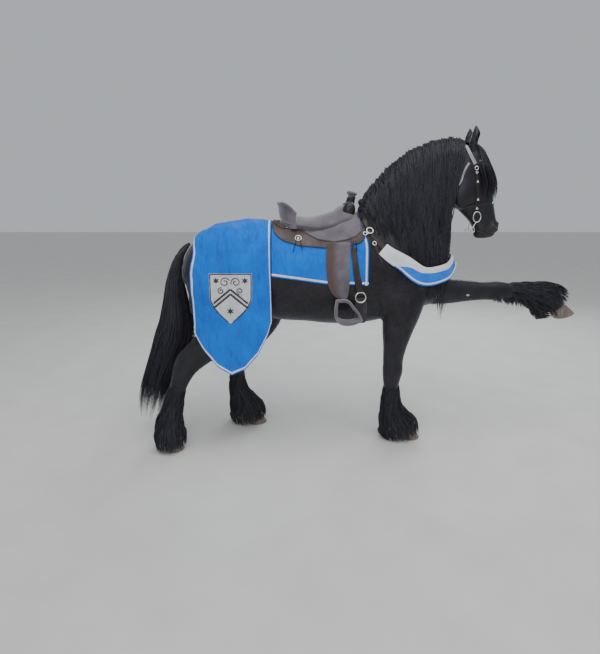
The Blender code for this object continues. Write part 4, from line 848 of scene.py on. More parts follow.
def ear(side):
    foot = Vector((1.128, side * 0.050, 1.985))
    tip = Vector((1.149, side * 0.052, 2.169))
    rows, columns = 22, 20
    points, faces = [], []
    opening = Vector((0.80, side * 0.60, 0.0)).normalized()
    for r in range(rows + 1):
        t = r / rows
        middle = foot.lerp(tip, t) + Vector((0.010 * math.sin(math.pi * t), side * 0.010 * math.sin(math.pi * t), 0))
        width = np.interp(t, [e[0] for e in EAR], [e[1] for e in EAR])
        gap = math.radians(14 + 66 * math.sin(math.pi * min(1.0, t * 1.15)) ** 1.2)
        for c in range(columns + 1):
            turn = gap + (2 * math.pi - 2 * gap) * c / columns
            way = opening * math.cos(turn) + Vector((-opening.y, opening.x, 0)) * math.sin(turn)
            deep = 0.90 if math.cos(turn) < 0 else 1.05
            points.append(middle + way * width * deep)
    for r in range(rows):
        for c in range(columns):
            a = r * (columns + 1) + c
            faces.append((a, a + 1, a + columns + 2, a + columns + 1))
    return mesh_of("ear", points, faces)


ear_meshes = []
for side in BOTH:
    shell = new_object("ear", outwards(ear(side)))
    add_modifier(shell, "SOLIDIFY", thickness=0.0038, offset=-1.0)
    add_modifier(shell, "SUBSURF", levels=1, render_levels=1)
    apply_modifiers(shell)
    ear_meshes.append(shell.data)
    bpy.data.objects.remove(shell)
hand_over(new_object("ears", outwards(joined(ear_meshes)), coat), "black_coat")

# %% [markdown]
# ## Hooves
# A hoof is horn that grows down from the coronet in rings. The raised one shows pale
# and worn and the others darker with mud, but all four share one streaked finish here.
# Rings of points spread from the coronet to the sole, and shallow steps between them give the growth rings.

# %% Hooves
HOOF_LENGTH, HOOF_WIDTH, HOOF_HEIGHT = 0.150, 0.136, 0.088
HOOVES = {
    "fore_leg_right": ((0.730, -0.048, HOOF_HEIGHT), -24, (0.789, -0.048, 0.0), 0),
    "fore_leg_left": ((1.916, 0.193, 0.911), -38, (1.978, 0.193, 0.847), -20),
    "hind_leg_right": ((-0.900, -0.222, HOOF_HEIGHT), -15, (-0.872, -0.225, 0.0), 0),
    "hind_leg_left": ((-0.392, 0.198, HOOF_HEIGHT), -24, (-0.334, 0.198, 0.0), 0),
}
HOOF_LEVELS = 26
horn = Finish("hoof_horn", (0.16, 0.13, 0.11), 0.45)
grow_rings = horn.noise(1.0, 3.0, horn.stretched((30, 30, 300)))
streak = horn.noise(1.0, 4.0, horn.stretched((160, 160, 12)))
horn.colour(horn.ramp(streak, [(0.3, (0.055, 0.045, 0.040)), (0.52, (0.20, 0.15, 0.125)), (0.8, (0.36, 0.28, 0.24))]))
horn.rough(grow_rings, 0.35, 0.6)
horn.bump(grow_rings, 0.5, 0.0015)


def hoof(coronet, coronet_lean, sole, sole_lean, sides=56):
    points, faces = [], []
    for level in range(HOOF_LEVELS + 1):
        t = level / HOOF_LEVELS
        centre = Vector(coronet).lerp(Vector(sole), t)
        ridge = 0.004 * math.sin(t * 24) * math.sin(math.pi * t)
        spread = 0.77 + 0.23 * t**0.85 + ridge - 0.02 * (1 - t) ** 4
        lean = Matrix.Rotation(math.radians(coronet_lean + (sole_lean - coronet_lean) * t), 3, "Y")
        for k in range(sides):
            turn = 2 * math.pi * k / sides
            heel = 1.0 - 0.10 * max(0.0, -math.cos(turn)) ** 3
            flat = Vector((math.cos(turn) * HOOF_LENGTH / 2 * heel, math.sin(turn) * HOOF_WIDTH / 2, 0))
            points.append(centre + lean @ (flat * spread))
    for r in range(HOOF_LEVELS):
        for k in range(sides):
            a, b = r * sides + k, r * sides + (k + 1) % sides
            faces.append((a, b, b + sides, a + sides))
    faces.append(tuple(range(sides)))
    faces.append(tuple(HOOF_LEVELS * sides + k for k in range(sides)))
    return outwards(mesh_of("hoof", points, faces))


for leg, where in HOOVES.items():
    piece = new_object("hoof_" + leg, hoof(*where), horn)
    hand_over(piece, "hoof_horn", leg + "_hoof", sharp=50)

# %% [markdown]
# ## Short coat
# The lie of the coat is mostly in the bump, but where the body turns away from the
# eye the hair ends break the outline. Geometry Nodes scatter small bent blades over
# the skin: the points come from the faces, each blade is turned to lie along the
# coat, and the blade's own map is shrunk to a small patch at its root.

# %% One blade of short hair
BLADE_LENGTH, BLADE_WIDTH, BLADE_LIFT = 0.022, 0.0026, 0.0034
blade_points = [(-BLADE_WIDTH / 2, 0, -0.001), (BLADE_WIDTH / 2, 0, -0.001)]
blade_points += [(-BLADE_WIDTH / 3, BLADE_LENGTH * 0.5, BLADE_LIFT * 0.8)]
blade_points += [(BLADE_WIDTH / 3, BLADE_LENGTH * 0.5, BLADE_LIFT * 0.8), (0, BLADE_LENGTH, BLADE_LIFT)]
blade_mesh = mesh_of("blade", blade_points, [(0, 1, 3, 2), (2, 3, 4)])
blade = new_object("blade", blade_mesh, coat)
blade.hide_render = True
blade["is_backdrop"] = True

# %% Where each blade lies and how long it is
short_ground = new_object("short_hair", skin.data.copy())
ground_points = read_points(short_ground.data)
ground_normals = read_normals(short_ground.data)
drawn = ground_points - np.array(SHIFT)
flow = np.tile((-0.75, 0.0, -0.65), (len(drawn), 1))
flow[drawn[:, 2] < 0.85] = (-0.15, 0.0, -1.0)
on_raised = (drawn[:, 0] > 1.08) & (drawn[:, 2] < 1.25)
flow[on_raised] = (1.0, 0.0, -0.25)
on_face = (drawn[:, 0] > 1.02) & (drawn[:, 2] > 1.40)
flow[on_face] = (0.15, 0.0, -1.0)
flow -= ground_normals * (flow * ground_normals).sum(1)[:, None]
flow /= np.maximum(np.linalg.norm(flow, axis=1), 1e-6)[:, None]
length = np.ones(len(drawn))
length[drawn[:, 2] < 0.45] = 0.75
length[on_face] = 0.38
features = on_face & (drawn[:, 2] < 1.60)
length[features] = 0.25
near_eye = np.hypot(np.abs(drawn[:, 1]) - EYE_AT[1], drawn[:, 2] - EYE_AT[2]) < 0.035
amount = np.ones(len(drawn))
amount[on_face & near_eye] = 0.0
patches = roots_on_unwrap(drawn)
for name, kind, values in (
    ("lie", "FLOAT_VECTOR", flow),
    ("length", "FLOAT", length),
    ("amount", "FLOAT", amount),
    ("patch", "FLOAT_VECTOR", np.column_stack([patches, np.zeros(len(patches))])),
):
    layer = short_ground.data.attributes.new(name, kind, "POINT")
    layer.data.foreach_set("vector" if kind == "FLOAT_VECTOR" else "value", values.astype(np.float32).ravel())
short_ground.data.uv_layers.remove(short_ground.data.uv_layers["OFBake"])

# %% The tree that scatters the blades
SHORT_DENSITY = 6200.0
PATCH = 0.003


class NodeTree:
    """A Geometry Nodes tree, built by name, with its inputs listed as they are added."""

    def __init__(self, name):
        self.group = bpy.data.node_groups.new(name, "GeometryNodeTree")
        self.group.interface.new_socket("Geometry", in_out="INPUT", socket_type="NodeSocketGeometry")
        self.group.interface.new_socket("Geometry", in_out="OUTPUT", socket_type="NodeSocketGeometry")
        self.start = self.group.nodes.new("NodeGroupInput")
        self.end = self.group.nodes.new("NodeGroupOutput")
        self.ids = {}

    def input(self, name, kind, value=None):
        spot = self.group.interface.new_socket(name, in_out="INPUT", socket_type="NodeSocket" + kind)
        if value is not None:
            spot.default_value = value
        self.ids[name] = spot.identifier
        return self.start.outputs[name]

    def node(self, kind, inputs=None, **settings):
        made = self.group.nodes.new(kind)
        for name, value in settings.items():
            setattr(made, name, value)
        for name, value in (inputs or {}).items():
            if isinstance(value, bpy.types.NodeSocket):
                self.group.links.new(value, made.inputs[name])
            else:
                made.inputs[name].default_value = value
        return made

    def attribute(self, name, kind="FLOAT"):
        return self.node("GeometryNodeInputNamedAttribute", {"Name": name}, data_type=kind).outputs["Attribute"]

    def finish(self, geometry, material):
        real = self.node("GeometryNodeRealizeInstances", {"Geometry": geometry}).outputs[0]
        painted = self.node("GeometryNodeSetMaterial", {"Geometry": real})
        painted.inputs["Material"].default_value = material
        self.group.links.new(painted.outputs[0], self.end.inputs["Geometry"])


def grow(piece, tree, **values):
    """Runs a tree on a piece with these inputs, and keeps the result as a plain mesh."""
    made = piece.modifiers.new("Grow", "NODES")
    made.node_group = tree.group
    for name, value in values.items():
        made[tree.ids[name]] = value
    apply_modifiers(piece)
    return piece


short = NodeTree("short_coat")
density = short.input("Density", "Float", SHORT_DENSITY)
seed = short.input("Seed", "Int", 3)
blade_in = short.input("Blade", "Object")
spread = short.node(
    "GeometryNodeDistributePointsOnFaces",
    {"Mesh": short.start.outputs["Geometry"], "Seed": seed},
)
thinned = short.node("ShaderNodeMath", operation="MULTIPLY")
short.group.links.new(density, thinned.inputs[0])
short.group.links.new(short.attribute("amount"), thinned.inputs[1])
short.group.links.new(thinned.outputs[0], spread.inputs["Density"])
up = short.node(
    "FunctionNodeAlignRotationToVector", {"Vector": spread.outputs["Normal"]}, axis="Z"
)
along_lie = short.node(
    "FunctionNodeAlignRotationToVector",
    {"Rotation": up.outputs[0], "Vector": short.attribute("lie", "FLOAT_VECTOR")},
    axis="Y",
    pivot_axis="Z",
)
sizes = short.node("FunctionNodeRandomValue", data_type="FLOAT")
sizes.inputs[2].default_value = 0.7
sizes.inputs[3].default_value = 1.25
short.group.links.new(seed, sizes.inputs["Seed"])
sized = short.node("ShaderNodeMath", operation="MULTIPLY")
short.group.links.new(sizes.outputs[1], sized.inputs[0])
short.group.links.new(short.attribute("length"), sized.inputs[1])
source = short.node("GeometryNodeObjectInfo", {"Object": blade_in, "As Instance": True})
copies = short.node(
    "GeometryNodeInstanceOnPoints",
    {
        "Points": spread.outputs["Points"],
        "Instance": source.outputs["Geometry"],
        "Rotation": along_lie.outputs[0],
        "Scale": sized.outputs[0],
    },
)
short.finish(copies.outputs[0], coat.material)
grow(short_ground, short, Blade=blade)
print("blades", len(short_ground.data.polygons) // 2)

# %% Each blade's patch on the unwrap


def patch_map(mesh, per_blade, roots_uv):
    """Gives each blade one small patch of the map at its root's place."""
    corners = np.empty(len(mesh.loops), int)
    mesh.loops.foreach_get("vertex_index", corners)
    blade_of = corners // per_blade
    place = (corners % per_blade) / max(1, per_blade - 1)
    uv = roots_uv[blade_of] + np.column_stack([place * PATCH, (place * 7 % 1) * PATCH])
    layer = mesh.uv_layers.new(name="OFBake")
    layer.data.foreach_set("uv", uv.ravel())


BLADE_POINTS = len(blade_points)
root_points = read_points(short_ground.data)[::BLADE_POINTS] - np.array(SHIFT)
for extra in list(short_ground.data.attributes):
    if extra.name in ("lie", "length", "amount", "patch"):
        short_ground.data.attributes.remove(extra)
patch_map(short_ground.data, BLADE_POINTS, roots_on_unwrap(root_points))
short_ground.data.transform(Matrix.Translation(-SHIFT))
hand_over(short_ground, "black_coat", smooth=False)
bpy.data.objects.remove(blade)

# %% [markdown]
# ## Long hair
# Mane, forelock, tail and feathers are locks of strands. A guide path is drawn for
# each lock, the strands of a lock start spread out and close up towards its tip, and
# a slow wave runs down them. Each strand is a solid with three sides that tapers to
# a point, so it still reads as hair when the camera comes near.

# %% Strand helpers
rng = np.random.default_rng(11)
hair = Finish("long_hair", (0.009, 0.0085, 0.011), 0.36, Sheen_Weight=0.12, Sheen_Roughness=0.4)
hair.set("Specular IOR Level", 0.5)
hair.set("Sheen Tint", (0.6, 0.65, 0.85, 1.0))
tone = hair.node("ShaderNodeAttribute", attribute_name="tone").outputs["Fac"]
HAIR_TONES = ((0.0, (0.0055, 0.005, 0.0075)), (0.75, (0.018, 0.0165, 0.025)), (1.0, (0.036, 0.030, 0.034)))
hair.colour(hair.ramp(tone, HAIR_TONES))
hair.rough(tone, 0.28, 0.46)


def comb(guides, outs, count, across, outward, tip=0.25, wave=0.006, turns=2.0, short_by=0.12, root=0.35):
    """Strand paths round guide paths: count strands, spread across and outward, closing to tip of that."""
    guides, outs = np.array(guides), np.array(outs)
    steps = guides.shape[1]
    t = np.linspace(0, 1, steps)
    pick = np.arange(count) % len(guides)
    path, out = guides[pick], outs[pick]
    tangent = np.gradient(path, axis=1)
    tangent /= np.maximum(np.linalg.norm(tangent, axis=2), 1e-9)[..., None]
    sideways = np.cross(tangent, out)
    sideways /= np.maximum(np.linalg.norm(sideways, axis=2), 1e-9)[..., None]
    close = (1 - (1 - tip) * t**1.3) * np.minimum(1.0, root + 5 * t)
    a = rng.uniform(-1, 1, count)[:, None] * across * close
    b = rng.uniform(0, 1, count)[:, None] * outward * close
    phase = rng.uniform(0, 2 * math.pi, len(guides))[pick][:, None] + rng.normal(0, 0.5, count)[:, None]
    swing = wave * np.sin(2 * math.pi * turns * t[None] + phase) * t[None] ** 0.7
    bulge = 0.5 * wave * np.cos(2 * math.pi * turns * 0.8 * t[None] + phase) * t[None]
    path = path + sideways * (a + swing)[..., None] + out * (b + bulge)[..., None]
    keep = 1 - rng.uniform(0, short_by, count) ** 1.0
    cut = np.empty_like(path)
    for axis in range(3):
        for k in range(count):
            cut[k, :, axis] = np.interp(t * keep[k], t, path[k, :, axis])
    return cut, out


def strands(name, paths, outs, width, thick, finish, roots=None):
    """One mesh of tapered three-sided strands, with a patch of the unwrap for each."""
    count, steps, _ = paths.shape
    tangent = np.gradient(paths, axis=1)
    tangent /= np.maximum(np.linalg.norm(tangent, axis=2), 1e-9)[..., None]
    sideways = np.cross(tangent, outs)
    sideways /= np.maximum(np.linalg.norm(sideways, axis=2), 1e-9)[..., None]
    face_way = np.cross(sideways, tangent)
    t = np.linspace(0, 1, steps)
    taper = np.minimum(1.0, 0.6 + 2 * t) * (1 - t**2.2)
    size = rng.uniform(0.7, 1.2, count)[:, None] * taper[None]
    body = paths[:, :-1]
    s = (sideways * (size * width / 2)[..., None])[:, :-1]
    f = (face_way * (size * thick / 2)[..., None])[:, :-1]
    ringed = np.stack([body - s - f * 0.6, body + s - f * 0.6, body + f * 1.2], axis=2)
    per = 3 * (steps - 1) + 1
    points = np.concatenate([ringed.reshape(count, -1, 3), paths[:, -1:]], axis=1).reshape(-1, 3)
    faces = [(2, 1, 0)]
    for r in range(steps - 2):
        for k in range(3):
            a, b = 3 * r + k, 3 * r + (k + 1) % 3
            faces.append((a, b, b + 3, a + 3))
    last = 3 * (steps - 2)
    faces += [(last + k, last + (k + 1) % 3, per - 1) for k in range(3)]
    lengths = [len(face) for face in faces]
    flat = np.concatenate([np.array(face) for face in faces])
    mesh = bpy.data.meshes.new(name)
    mesh.vertices.add(len(points))
    mesh.vertices.foreach_set("co", points.ravel())
    corners = (flat[None] + (np.arange(count) * per)[:, None]).ravel()
    mesh.loops.add(len(corners))
    mesh.loops.foreach_set("vertex_index", corners.astype(np.int32))
    totals = np.tile(lengths, count)
    mesh.polygons.add(len(totals))
    mesh.polygons.foreach_set("loop_start", np.concatenate([[0], np.cumsum(totals)[:-1]]).astype(np.int32))
    mesh.update(calc_edges=True)
    mesh.validate()
    shade = mesh.attributes.new("tone", "FLOAT", "POINT")
    light = np.clip(rng.normal(0.45, 0.22, count), 0, 1)
    values = light[:, None] + 0.25 * np.concatenate([np.repeat(t[:-1], 3), [1.0]])[None] ** 3
    shade.data.foreach_set("value", np.clip(values, 0, 1).astype(np.float32).ravel())
    patch_map(mesh, per, roots_on_unwrap(paths[:, 0] if roots is None else roots))
    piece = new_object(name, mesh, finish)
    first = mesh.polygons[1]
    middle = Vector(paths[0, 0]).lerp(Vector(paths[0, 1]), 0.5)
    if first.normal.dot(first.center - middle) < 0:
        mesh.flip_normals()
    return piece


def side_reach(tree, x, z, side):
    hit = tree.ray_cast(Vector((x, side * 2.0, z)), Vector((0, -side, 0)))[0]
    return hit.y * side if hit else None


def along(table, value):
    rows = sorted(table)
    return float(np.interp(value, [r[0] for r in rows], [r[1] for r in rows]))


def smoothed(path, count):
    return smooth_rows(path, count)[:, :3]


# %% [markdown]
# The mane grows from the crest and falls to the right, close on the neck, down past
# the shoulder. Three layers of locks lie over each other; the top ones are shorter.

# %% Mane
CREST = ((0.400, 1.655), (0.488, 1.775), (0.606, 1.907), (0.736, 2.004), (0.868, 2.062), (1.000, 2.088), (1.085, 2.072))
MANE_ENDS = (
    (0.400, 1.560), (0.440, 1.500), (0.500, 1.425), (0.560, 1.385), (0.640, 1.330), (0.720, 1.240),
    (0.790, 1.140), (0.860, 1.040), (0.930, 0.985), (0.985, 1.050),
)
MANE_FRONT = 0.972
MANE_STEPS = 15
guides, outs = [], []
for layer, count, share in ((0.000, 44, 1.0), (0.006, 42, 0.95), (0.012, 38, 0.80)):
    for k in range(count):
        x = 0.415 + (1.075 - 0.415) * (k + 0.5 + rng.uniform(-0.5, 0.5)) / count
        end = min(x - 0.005, MANE_FRONT) + rng.uniform(-0.022, 0.016)
        top = along(CREST, x)
        low = top - (top - along(MANE_ENDS, end)) * share + rng.uniform(-0.05, 0.05)
        rise = layer / 2 + rng.uniform(-0.003, 0.004)
        path, reach = [(x, 0.016, top - 0.016), (x, -0.006, top + 0.009 + rise)], 0.0
        for t in (0.06, 0.14, 0.26, 0.42, 0.6, 0.8, 1.0):
            here = x + (end - x) * min(1.0, 1.5 * t) + rng.uniform(-0.007, 0.007)
            z = top + (low - top) * t
            reach = max(reach, side_reach(skin_tree, here, z, RIGHT) or 0.0)
            path.append((here, -reach - layer - 0.003, z))
        guides.append(smoothed(path, MANE_STEPS))
        outs.append(np.tile((0.0, -0.97, 0.25), (MANE_STEPS, 1)))
paths, ways = comb(guides, outs, 2200, 0.017, 0.010, tip=0.32, wave=0.017, turns=2.6, short_by=0.2, root=1.0)
mane_right = strands("mane", paths, ways, 0.0046, 0.0022, hair)
hand_over(mane_right, "black_coat")

# %% Hair that falls to the left
guides, outs = [], []
for k in range(34):
    x = 0.43 + (1.06 - 0.43) * (k + 0.5) / 34
    top = along(CREST, x)
    low = top - rng.uniform(0.10, 0.26)
    path, reach = [(x, 0.0, top - 0.016), (x, 0.012, top + 0.008)], 0.0
    for t in (0.2, 0.5, 1.0):
        z = top + (low - top) * t
        reach = max(reach, side_reach(skin_tree, x, z, LEFT) or 0.0)
        path.append((x - 0.02 * t, reach + 0.004, z))
    guides.append(smoothed(path, 10))
    outs.append(np.tile((0.0, 0.97, 0.25), (10, 1)))
paths, ways = comb(guides, outs, 420, 0.014, 0.008, wave=0.006, turns=1.4, short_by=0.4, root=1.0)
hand_over(strands("mane_left", paths, ways, 0.0046, 0.0022, hair), "black_coat")

# %% Wisps under the banner
guides, outs = [], []
for k in range(7):
    x = 0.845 + 0.125 * k / 6
    low = 0.870 + 0.12 * abs(k - 3.5) / 3.5 + rng.uniform(-0.02, 0.02)
    reach = max(side_reach(skin_tree, x, z, RIGHT) or 0.0 for z in (1.24, 1.18, 1.12)) + 0.004
    ends = ((1.240, 0.0), (1.140, 0.004), (1.020, 0.000), (low, -0.012))
    path = [(x + 0.04 * (1.24 - z), -reach - off, z) for z, off in ends]
    guides.append(smoothed(path, 10))
    outs.append(np.tile((0.0, -1.0, 0.0), (10, 1)))
paths, ways = comb(guides, outs, 130, 0.016, 0.006, tip=0.35, wave=0.008, turns=1.6, short_by=0.4)
hand_over(strands("mane_wisps", paths, ways, 0.0036, 0.0018, hair), "black_coat")

# %% Forelock
FORELOCK_FRONT = ((2.085, 1.100), (2.060, 1.165), (2.022, 1.226), (1.922, 1.280), (1.791, 1.328), (1.690, 1.330), (1.640, 1.322))
FORELOCK_SPREAD = ((1.650, 0.78), (1.810, 0.98), (1.920, 1.00), (1.990, 0.50), (2.060, 0.24))
guides, outs = [], []
for layer in (0, 1, 2):
    for k in range(19):
        side = -0.122 + 0.240 * (k + 0.5 + rng.uniform(-0.3, 0.3)) / 19
        low = 1.645 + abs(side) * 0.32 + rng.uniform(-0.02, 0.03) + 0.02 * layer
        path = [(1.096, side * 0.22, 2.068)]
        for z in (2.062, 2.030, 1.970, 1.900, 1.810, low):
            back = 7.0 * side * side * min(1.0, 0.1 + max(0.0, 2.07 - z) / 0.15)
            x = along(FORELOCK_FRONT, z) - 0.012 * (2 - layer) - back
            spread_y = min(abs(side) * along(FORELOCK_SPREAD, z), 0.103)
            path.append((x, math.copysign(spread_y, side), z))
        guides.append(smoothed(path, 14))
        outs.append(np.tile(np.array((0.95, side * 8, 0.25)), (14, 1)))
paths, ways = comb(guides, outs, 1500, 0.010, 0.007, tip=0.4, wave=0.006, turns=1.8, short_by=0.2)
ways /= np.linalg.norm(ways, axis=2)[..., None]
hand_over(strands("forelock", paths, ways, 0.0038, 0.0020, hair), "black_coat")

# %% [markdown]
# The tail hangs from the dock in a full skirt that reaches the fetlocks. Its sections
# come from the photograph's outline, and guides fill them from the core outwards.

# %% Tail
TAIL = (
    (-0.736, 0, 1.410, 0.030, 0.030, 0.030), (-0.797, 0, 1.369, 0.035, 0.045, 0.045),
    (-0.859, 0, 1.261, 0.105, 0.060, 0.070), (-0.890, 0, 1.137, 0.150, 0.068, 0.092),
    (-0.900, 0, 0.983, 0.172, 0.082, 0.110), (-0.911, 0, 0.828, 0.188, 0.098, 0.125),
    (-0.957, 0, 0.633, 0.152, 0.105, 0.130), (-1.014, 0, 0.468, 0.108, 0.102, 0.125),
    (-1.060, 0, 0.314, 0.105, 0.108, 0.112), (-1.090, 0, 0.201, 0.100, 0.096, 0.100),
    (-1.105, 0, 0.090, 0.085, 0.080, 0.080),
)


def skirt_guides(stations, count, steps, first, last, fill, spin=0.0):
    """Guides that run down inside the sections of a skirt of hair, at a share of its reach."""
    rows = smooth_rows(stations, 61)
    _, front, side = frames_along(rows[:, :3])
    guides, outs = [], []
    for k in range(count):
        turn = 2 * math.pi * (k * 0.618034 % 1)
        deep = fill(k / count)
        start, stop = first(k / count) * 60, last(k / count) * 60
        at = np.linspace(start, stop, steps)
        row, n, b = (
            np.column_stack([np.interp(at, np.arange(61), part[:, j]) for j in range(part.shape[1])])
            for part in (rows, front, side)
        )
        angle = turn + spin * np.linspace(0, 1, steps)
        c, s = np.cos(angle), np.sin(angle)
        reach = np.where(s >= 0, row[:, 3], row[:, 4])
        opened = deep * np.minimum(1.0, 0.45 + 1.4 * np.linspace(0, 1, steps))
        guides.append(row[:, :3] + n * (s * reach * opened)[:, None] + b * (c * row[:, 5] * opened)[:, None])
        outs.append(n * s[:, None] + b * c[:, None])
    return guides, outs


guides, outs = skirt_guides(
    TAIL, 170, 12, lambda u: 0.02 + 0.30 * u**1.5, lambda u: 0.80 + 0.195 * (u * 7 % 1), lambda u: 0.25 + 0.70 * u**0.6
)
paths, ways = comb(guides, outs, 2900, 0.018, 0.010, tip=0.40, wave=0.012, turns=2.0, short_by=0.16)
hand_over(strands("tail_hair", paths, ways, 0.0052, 0.0026, hair), "black_coat", "tail")

# %% [markdown]
# Feathers are the long hair of the lower legs. It starts behind the knee or hock,
# thickens round the fetlock and drops over the hoof in a bell.

# %% Feathers
FEATHERS = {
    "fore_leg_right": (
        (0.645, -0.090, 0.455, 0.060, 0.064, 0.050), (0.648, -0.078, 0.370, 0.066, 0.070, 0.056),
        (0.652, -0.066, 0.260, 0.078, 0.080, 0.066), (0.672, -0.056, 0.160, 0.114, 0.110, 0.088),
        (0.705, -0.050, 0.075, 0.150, 0.140, 0.112), (0.722, -0.048, 0.008, 0.140, 0.116, 0.118),
    ),
    "fore_leg_left": (
        (1.500, 0.188, 1.035, 0.066, 0.066, 0.054), (1.600, 0.189, 1.036, 0.066, 0.076, 0.054),
        (1.700, 0.190, 1.030, 0.074, 0.120, 0.064), (1.790, 0.191, 1.012, 0.094, 0.172, 0.080),
        (1.870, 0.192, 0.982, 0.112, 0.186, 0.088), (1.940, 0.193, 0.938, 0.108, 0.140, 0.084),
    ),
    "hind_leg_right": (
        (-0.806, -0.198, 0.490, 0.052, 0.072, 0.050), (-0.836, -0.202, 0.390, 0.058, 0.078, 0.054),
        (-0.868, -0.206, 0.275, 0.070, 0.082, 0.064), (-0.893, -0.212, 0.180, 0.096, 0.100, 0.086),
        (-0.894, -0.220, 0.095, 0.108, 0.104, 0.108), (-0.888, -0.224, 0.008, 0.102, 0.090, 0.114),
    ),
    "hind_leg_left": (
        (-0.486, 0.189, 0.470, 0.050, 0.060, 0.050), (-0.478, 0.191, 0.380, 0.058, 0.070, 0.054),
        (-0.468, 0.193, 0.270, 0.073, 0.082, 0.064), (-0.440, 0.196, 0.170, 0.113, 0.115, 0.088),
        (-0.410, 0.199, 0.085, 0.142, 0.138, 0.108), (-0.396, 0.199, 0.008, 0.126, 0.124, 0.114),
    ),
}
for leg, stations in FEATHERS.items():
    guides, outs = skirt_guides(
        stations, 170, 10, lambda u: 0.00 + 0.74 * u, lambda u: 0.34 + 0.66 * min(1.0, 0.05 + 1.5 * u), lambda u: 0.78 + 0.12 * u + 0.12 * (u * 37 % 1)
    )
    paths, ways = comb(guides, outs, 2100, 0.012, 0.008, tip=0.45, wave=0.006, turns=1.4, short_by=0.10)
    paths[..., 2] = np.maximum(paths[..., 2], 0.004)
    hand_over(strands("feather_" + leg, paths, ways, 0.0048, 0.0024, hair), "black_coat")

# %% Hair that hangs under the raised leg
DROPS = (
    (1.340, 0.060), (1.500, 0.107), (1.620, 0.126), (1.700, 0.150), (1.800, 0.172), (1.880, 0.155),
    (1.920, 0.110),
)
guides, outs = [], []
for k in range(110):
    x = 1.34 + 0.58 * rng.uniform(0, 1) ** 0.7
    y = 0.192 + rng.uniform(-0.045, 0.045)
    top = float(np.interp(x, [1.34, 1.50, 1.70, 1.80, 1.92], [1.022, 1.030, 1.020, 1.000, 0.950]))
    drop = along(DROPS, x) * rng.uniform(0.8, 1.05)
    path = [(x, y, top), (x + 0.02, y * 1.02 - 0.004, top - 0.35 * drop)]
    path += [(x + 0.035, y, top - 0.7 * drop), (x + 0.045, y, top - drop)]
    guides.append(smoothed(path, 8))
    outs.append(np.tile((0.0, -1.0 if y < 0.192 else 1.0, 0.0), (8, 1)))
paths, ways = comb(guides, outs, 1700, 0.012, 0.006, tip=0.4, wave=0.006, turns=1.2, short_by=0.25)
hand_over(strands("feather_drops", paths, ways, 0.0046, 0.0023, hair), "black_coat")

# %% [markdown]
# ## Cloths
# Cloth over a back follows the body down to its widest line and then hangs straight.
# Rays from the side find that line for every place along the back, which drapes the
# cloth without a simulation and keeps it in the solid's place. Folds and creases are
# moved in afterwards.

# %% Cloth helpers
AXIS_Z = 1.16


def fall_line(tree, x, side, low):
    """How cloth hangs at this x, from the spine down to the height low: rows of (y, z)."""
    line, reach = [], 0.0
    for step in range(46):
        angle = math.radians(2 * step)
        out = Vector((0, side * math.sin(angle), math.cos(angle)))
        hit = tree.ray_cast(Vector((x, 0, AXIS_Z)) + out * 2, -out)[0]
        if hit:
            reach = max(reach, hit.y * side)
            line.append((reach, hit.z))
    while line[-1][1] > low:
        z = line[-1][1] - 0.02
        reach = max(reach, side_reach(tree, x, z, side) or 0.0)
        line.append((reach, z))
    line = np.array(line)
    at_low = np.interp(low, line[::-1, 1], line[::-1, 0])
    return np.vstack([line[line[:, 1] > low], [(at_low, low)]])


def evenly(line, count):
    steps = np.linalg.norm(np.diff(line, axis=0), axis=1)
    at = np.concatenate([[0.0], np.cumsum(steps)])
    wanted = np.linspace(0.0, at[-1], count)
    return np.column_stack([np.interp(wanted, at, line[:, k]) for k in range(line.shape[1])])


def over_the_back(tree, rear, front, bottom, columns, rows):
    """A grid of points where cloth lies over the back, from the right edge to the left one."""
    grid = []
    for c in range(columns + 1):
        u = c / columns
        middle = along(rear, 1.3) * (1 - u) + along(front, 1.3) * u
        column = []
        for side in BOTH:
            first = evenly(fall_line(tree, middle, side, along(bottom, middle)), rows + 1)
            half = []
            for r in range(rows + 1):
                z = first[r][1]
                x = along(rear, z) * (1 - u) + along(front, z) * u
                here = evenly(fall_line(tree, x, side, along(bottom, x)), rows + 1)[r]
                half.append((x, side * here[0], here[1]))
            column.append(half)
        grid.append(list(reversed(column[0])) + column[1][1:])
    return np.array(grid)


def grid_normals(grid):
    a = np.gradient(grid, axis=0)
    b = np.gradient(grid, axis=1)
    normals = np.cross(a, b)
    normals /= np.maximum(np.linalg.norm(normals, axis=2), 1e-9)[..., None]
    out = np.zeros_like(grid)
    out[..., 1] = grid[..., 1]
    out[..., 2] = grid[..., 2] - AXIS_Z
    return normals * np.sign((normals * out).sum())


def grid_mesh(name, grid, uv_name="cloth"):
    """A mesh of a grid, with a map that counts metres along and across it."""
    columns, rows, _ = grid.shape
    faces = []
    for c in range(columns - 1):
        for r in range(rows - 1):
            a = c * rows + r
            faces.append((a, a + 1, a + rows + 1, a + rows))
    mesh = mesh_of(name, grid.reshape(-1, 3), faces)
    u = np.concatenate([[0], np.cumsum(np.linalg.norm(np.diff(grid[:, rows // 2], axis=0), axis=1))])
    v = np.concatenate([[0], np.cumsum(np.linalg.norm(np.diff(grid[columns // 2], axis=0), axis=1))])
    flat = np.stack(np.meshgrid(u, v, indexing="ij"), axis=2).reshape(-1, 2)
    corners = np.empty(len(mesh.loops), int)
    mesh.loops.foreach_get("vertex_index", corners)
    layer = mesh.uv_layers.new(name=uv_name)
    layer.data.foreach_set("uv", flat[corners].ravel())
    return mesh, u[-1], v[-1]


FLAT = {}


